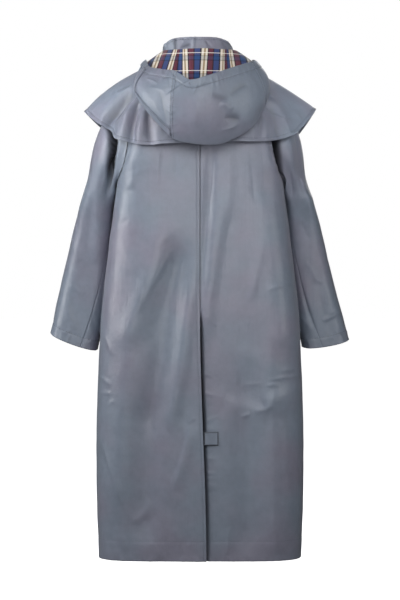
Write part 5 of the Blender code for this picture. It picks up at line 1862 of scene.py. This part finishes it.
def upper_stitches():
    """Cape, hood, collar and cuffs."""
    around = steps(-CAPE_STITCH_END, CAPE_STITCH_END, 4 * PATH_STEPS)
    paths = [by_edge(CAPE_CLOTH, CAPE_LIMITS, around, 0.0, CAPE_HEM_TURN.depth)]
    up = steps(*CAPE_STITCH_RUN, PATH_STEPS)
    for side in (-1, 1):
        paths.append(by_seam(CAPE_CLOTH, CAPE_LIMITS, up, side * CAPE_END, -side * EDGE_STITCH))
    for dart in CAPE_DARTS:
        around = steps(dart.angle0, dart.angle1, SHORT_STEPS)
        paths.append(sewn(CAPE_CLOTH, CAPE_LIMITS, around, steps(dart.up0, dart.up1, SHORT_STEPS)))
    around = steps(-HOOD_STITCH_END, HOOD_STITCH_END, 3 * PATH_STEPS)
    paths.append(by_edge(HOOD_CLOTH, HOOD_LIMITS, around, 1.0, HOOD_RIM_HEM.depth))
    up = steps(*HOOD_STITCH_RUN, PATH_STEPS)
    for seam in (HOOD_LEFT_SEAM, HOOD_RIGHT_SEAM):
        for away in (-SEAM_STITCH, SEAM_STITCH):
            paths.append(by_seam(HOOD_CLOTH, HOOD_LIMITS, up, seam, away))
    around = steps(*HOOD_BAND_ANGLES, BAND_COLUMNS)
    up = np.full(around.shape, HOOD_BAND_RUN[1] - BAND_STITCH_IN)
    paths.append(sewn(ON_HOOD, HOOD_LIMITS, around, up))
    around = steps(-COLLAR_STITCH_END, COLLAR_STITCH_END, 2 * PATH_STEPS)
    for edge in (0.0, 1.0):
        paths.append(by_edge(COLLAR_CLOTH, COLLAR_LIMITS, around, edge, COLLAR_HEM.depth))
    around = steps(*CUFF_STITCH_RUN, PATH_STEPS)
    for surface in SLEEVE_CLOTHS.values():
        paths.append(by_edge(surface, SLEEVE_LIMITS, around, 0.0, CUFF_HEM.depth))
    return paths


def stitch_tree():
    """Geometry nodes that lay a stitch at every step along a set of paths."""
    tree = bpy.data.node_groups.new("stitches", "GeometryNodeTree")
    tree.is_modifier = True
    sockets = (
        ("Paths", "INPUT", "NodeSocketGeometry"),
        ("Pitch", "INPUT", "NodeSocketFloat"),
        ("Length", "INPUT", "NodeSocketFloat"),
        ("Radius", "INPUT", "NodeSocketFloat"),
        ("Seed", "INPUT", "NodeSocketInt"),
        ("Thread", "INPUT", "NodeSocketMaterial"),
        ("Stitches", "OUTPUT", "NodeSocketGeometry"),
    )
    for name, way, kind in sockets:
        tree.interface.new_socket(name, in_out=way, socket_type=kind)
    given = add(tree, "NodeGroupInput").outputs
    lines = add(tree, "GeometryNodeMeshToCurve", {"Mesh": given["Paths"]})
    spacing = {"Curve": lines.outputs[0], "Length": given["Pitch"]}
    even = add(tree, "GeometryNodeResampleCurve", spacing, mode="LENGTH")
    bead = add(tree, "GeometryNodeMeshIcoSphere", {"Radius": 1.0, "Subdivisions": 1})
    run = add(tree, "GeometryNodeInputTangent")
    turned = add(tree, "FunctionNodeAlignRotationToVector", {"Vector": run.outputs[0]}, axis="Z")
    uneven = add(tree, "FunctionNodeRandomValue", {"Seed": given["Seed"]}, data_type="FLOAT")
    low, high = STITCH_UNEVEN
    share = add(tree, "ShaderNodeMapRange", {"Value": uneven.outputs[1], "To Min": low, "To Max": high})
    half = add(tree, "ShaderNodeMath", {0: given["Length"], 1: share.outputs[0]}, operation="MULTIPLY")
    size = add(tree, "ShaderNodeCombineXYZ", {0: given["Radius"], 1: given["Radius"], 2: half.outputs[0]})
    laid = add(
        tree,
        "GeometryNodeInstanceOnPoints",
        {
            "Points": even.outputs[0],
            "Instance": bead.outputs[0],
            "Rotation": turned.outputs[0],
            "Scale": size.outputs[0],
        },
    )
    real = add(tree, "GeometryNodeRealizeInstances", {0: laid.outputs[0]})
    dyed = add(tree, "GeometryNodeSetMaterial", {"Geometry": real.outputs[0], "Material": given["Thread"]})
    add(tree, "NodeGroupOutput", {"Stitches": dyed.outputs[0]})
    return tree


def make_stitches(name, tree, paths, thread, seed):
    """A piece with all the stitches along some paths, as a plain mesh."""
    points = np.concatenate(paths)
    starts = np.cumsum([0] + [len(path) for path in paths])
    edges = [(at, at + 1) for start, end in zip(starts, starts[1:]) for at in range(start, end - 1)]
    mesh = bpy.data.meshes.new(name)
    mesh.from_pydata(points.tolist(), edges, [])
    piece = link(bpy.data.objects.new(name, mesh))
    sewing = piece.modifiers.new("sewing", "NODES")
    sewing.node_group = tree
    values = {
        "Pitch": STITCH_PITCH,
        "Length": STITCH_LENGTH,
        "Radius": THREAD_RADIUS,
        "Seed": seed,
        "Thread": thread,
    }
    for socket in tree.interface.items_tree:
        if socket.in_out == "INPUT" and socket.name in values:
            sewing[socket.identifier] = values[socket.name]
    done = piece.evaluated_get(bpy.context.evaluated_depsgraph_get())
    piece.data = bpy.data.meshes.new_from_object(done)
    piece.modifiers.clear()
    piece.data.shade_smooth()
    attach(piece, "root")


def main():
    make_camera()
    make_stage()
    cotton = coated_cotton()
    make_body(cotton)
    make_trim(cotton)
    make_sleeves(cotton)
    make_cape_and_collar(cotton)
    make_hood(cotton, check_cotton())
    tree = stitch_tree()
    pale = sewing_thread("pale_thread", "#565D6A", "#6A7180")
    dark = sewing_thread("dark_thread", "#2E333C", "#454B57")
    make_stitches("body_stitches", tree, body_stitches(), pale, seed=5)
    make_stitches("upper_stitches", tree, upper_stitches(), dark, seed=6)
    caps = stud_metal()
    for name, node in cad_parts.items():
        if name.startswith("press_stud"):
            node.data.materials.clear()
            node.data.materials.append(caps)


main()
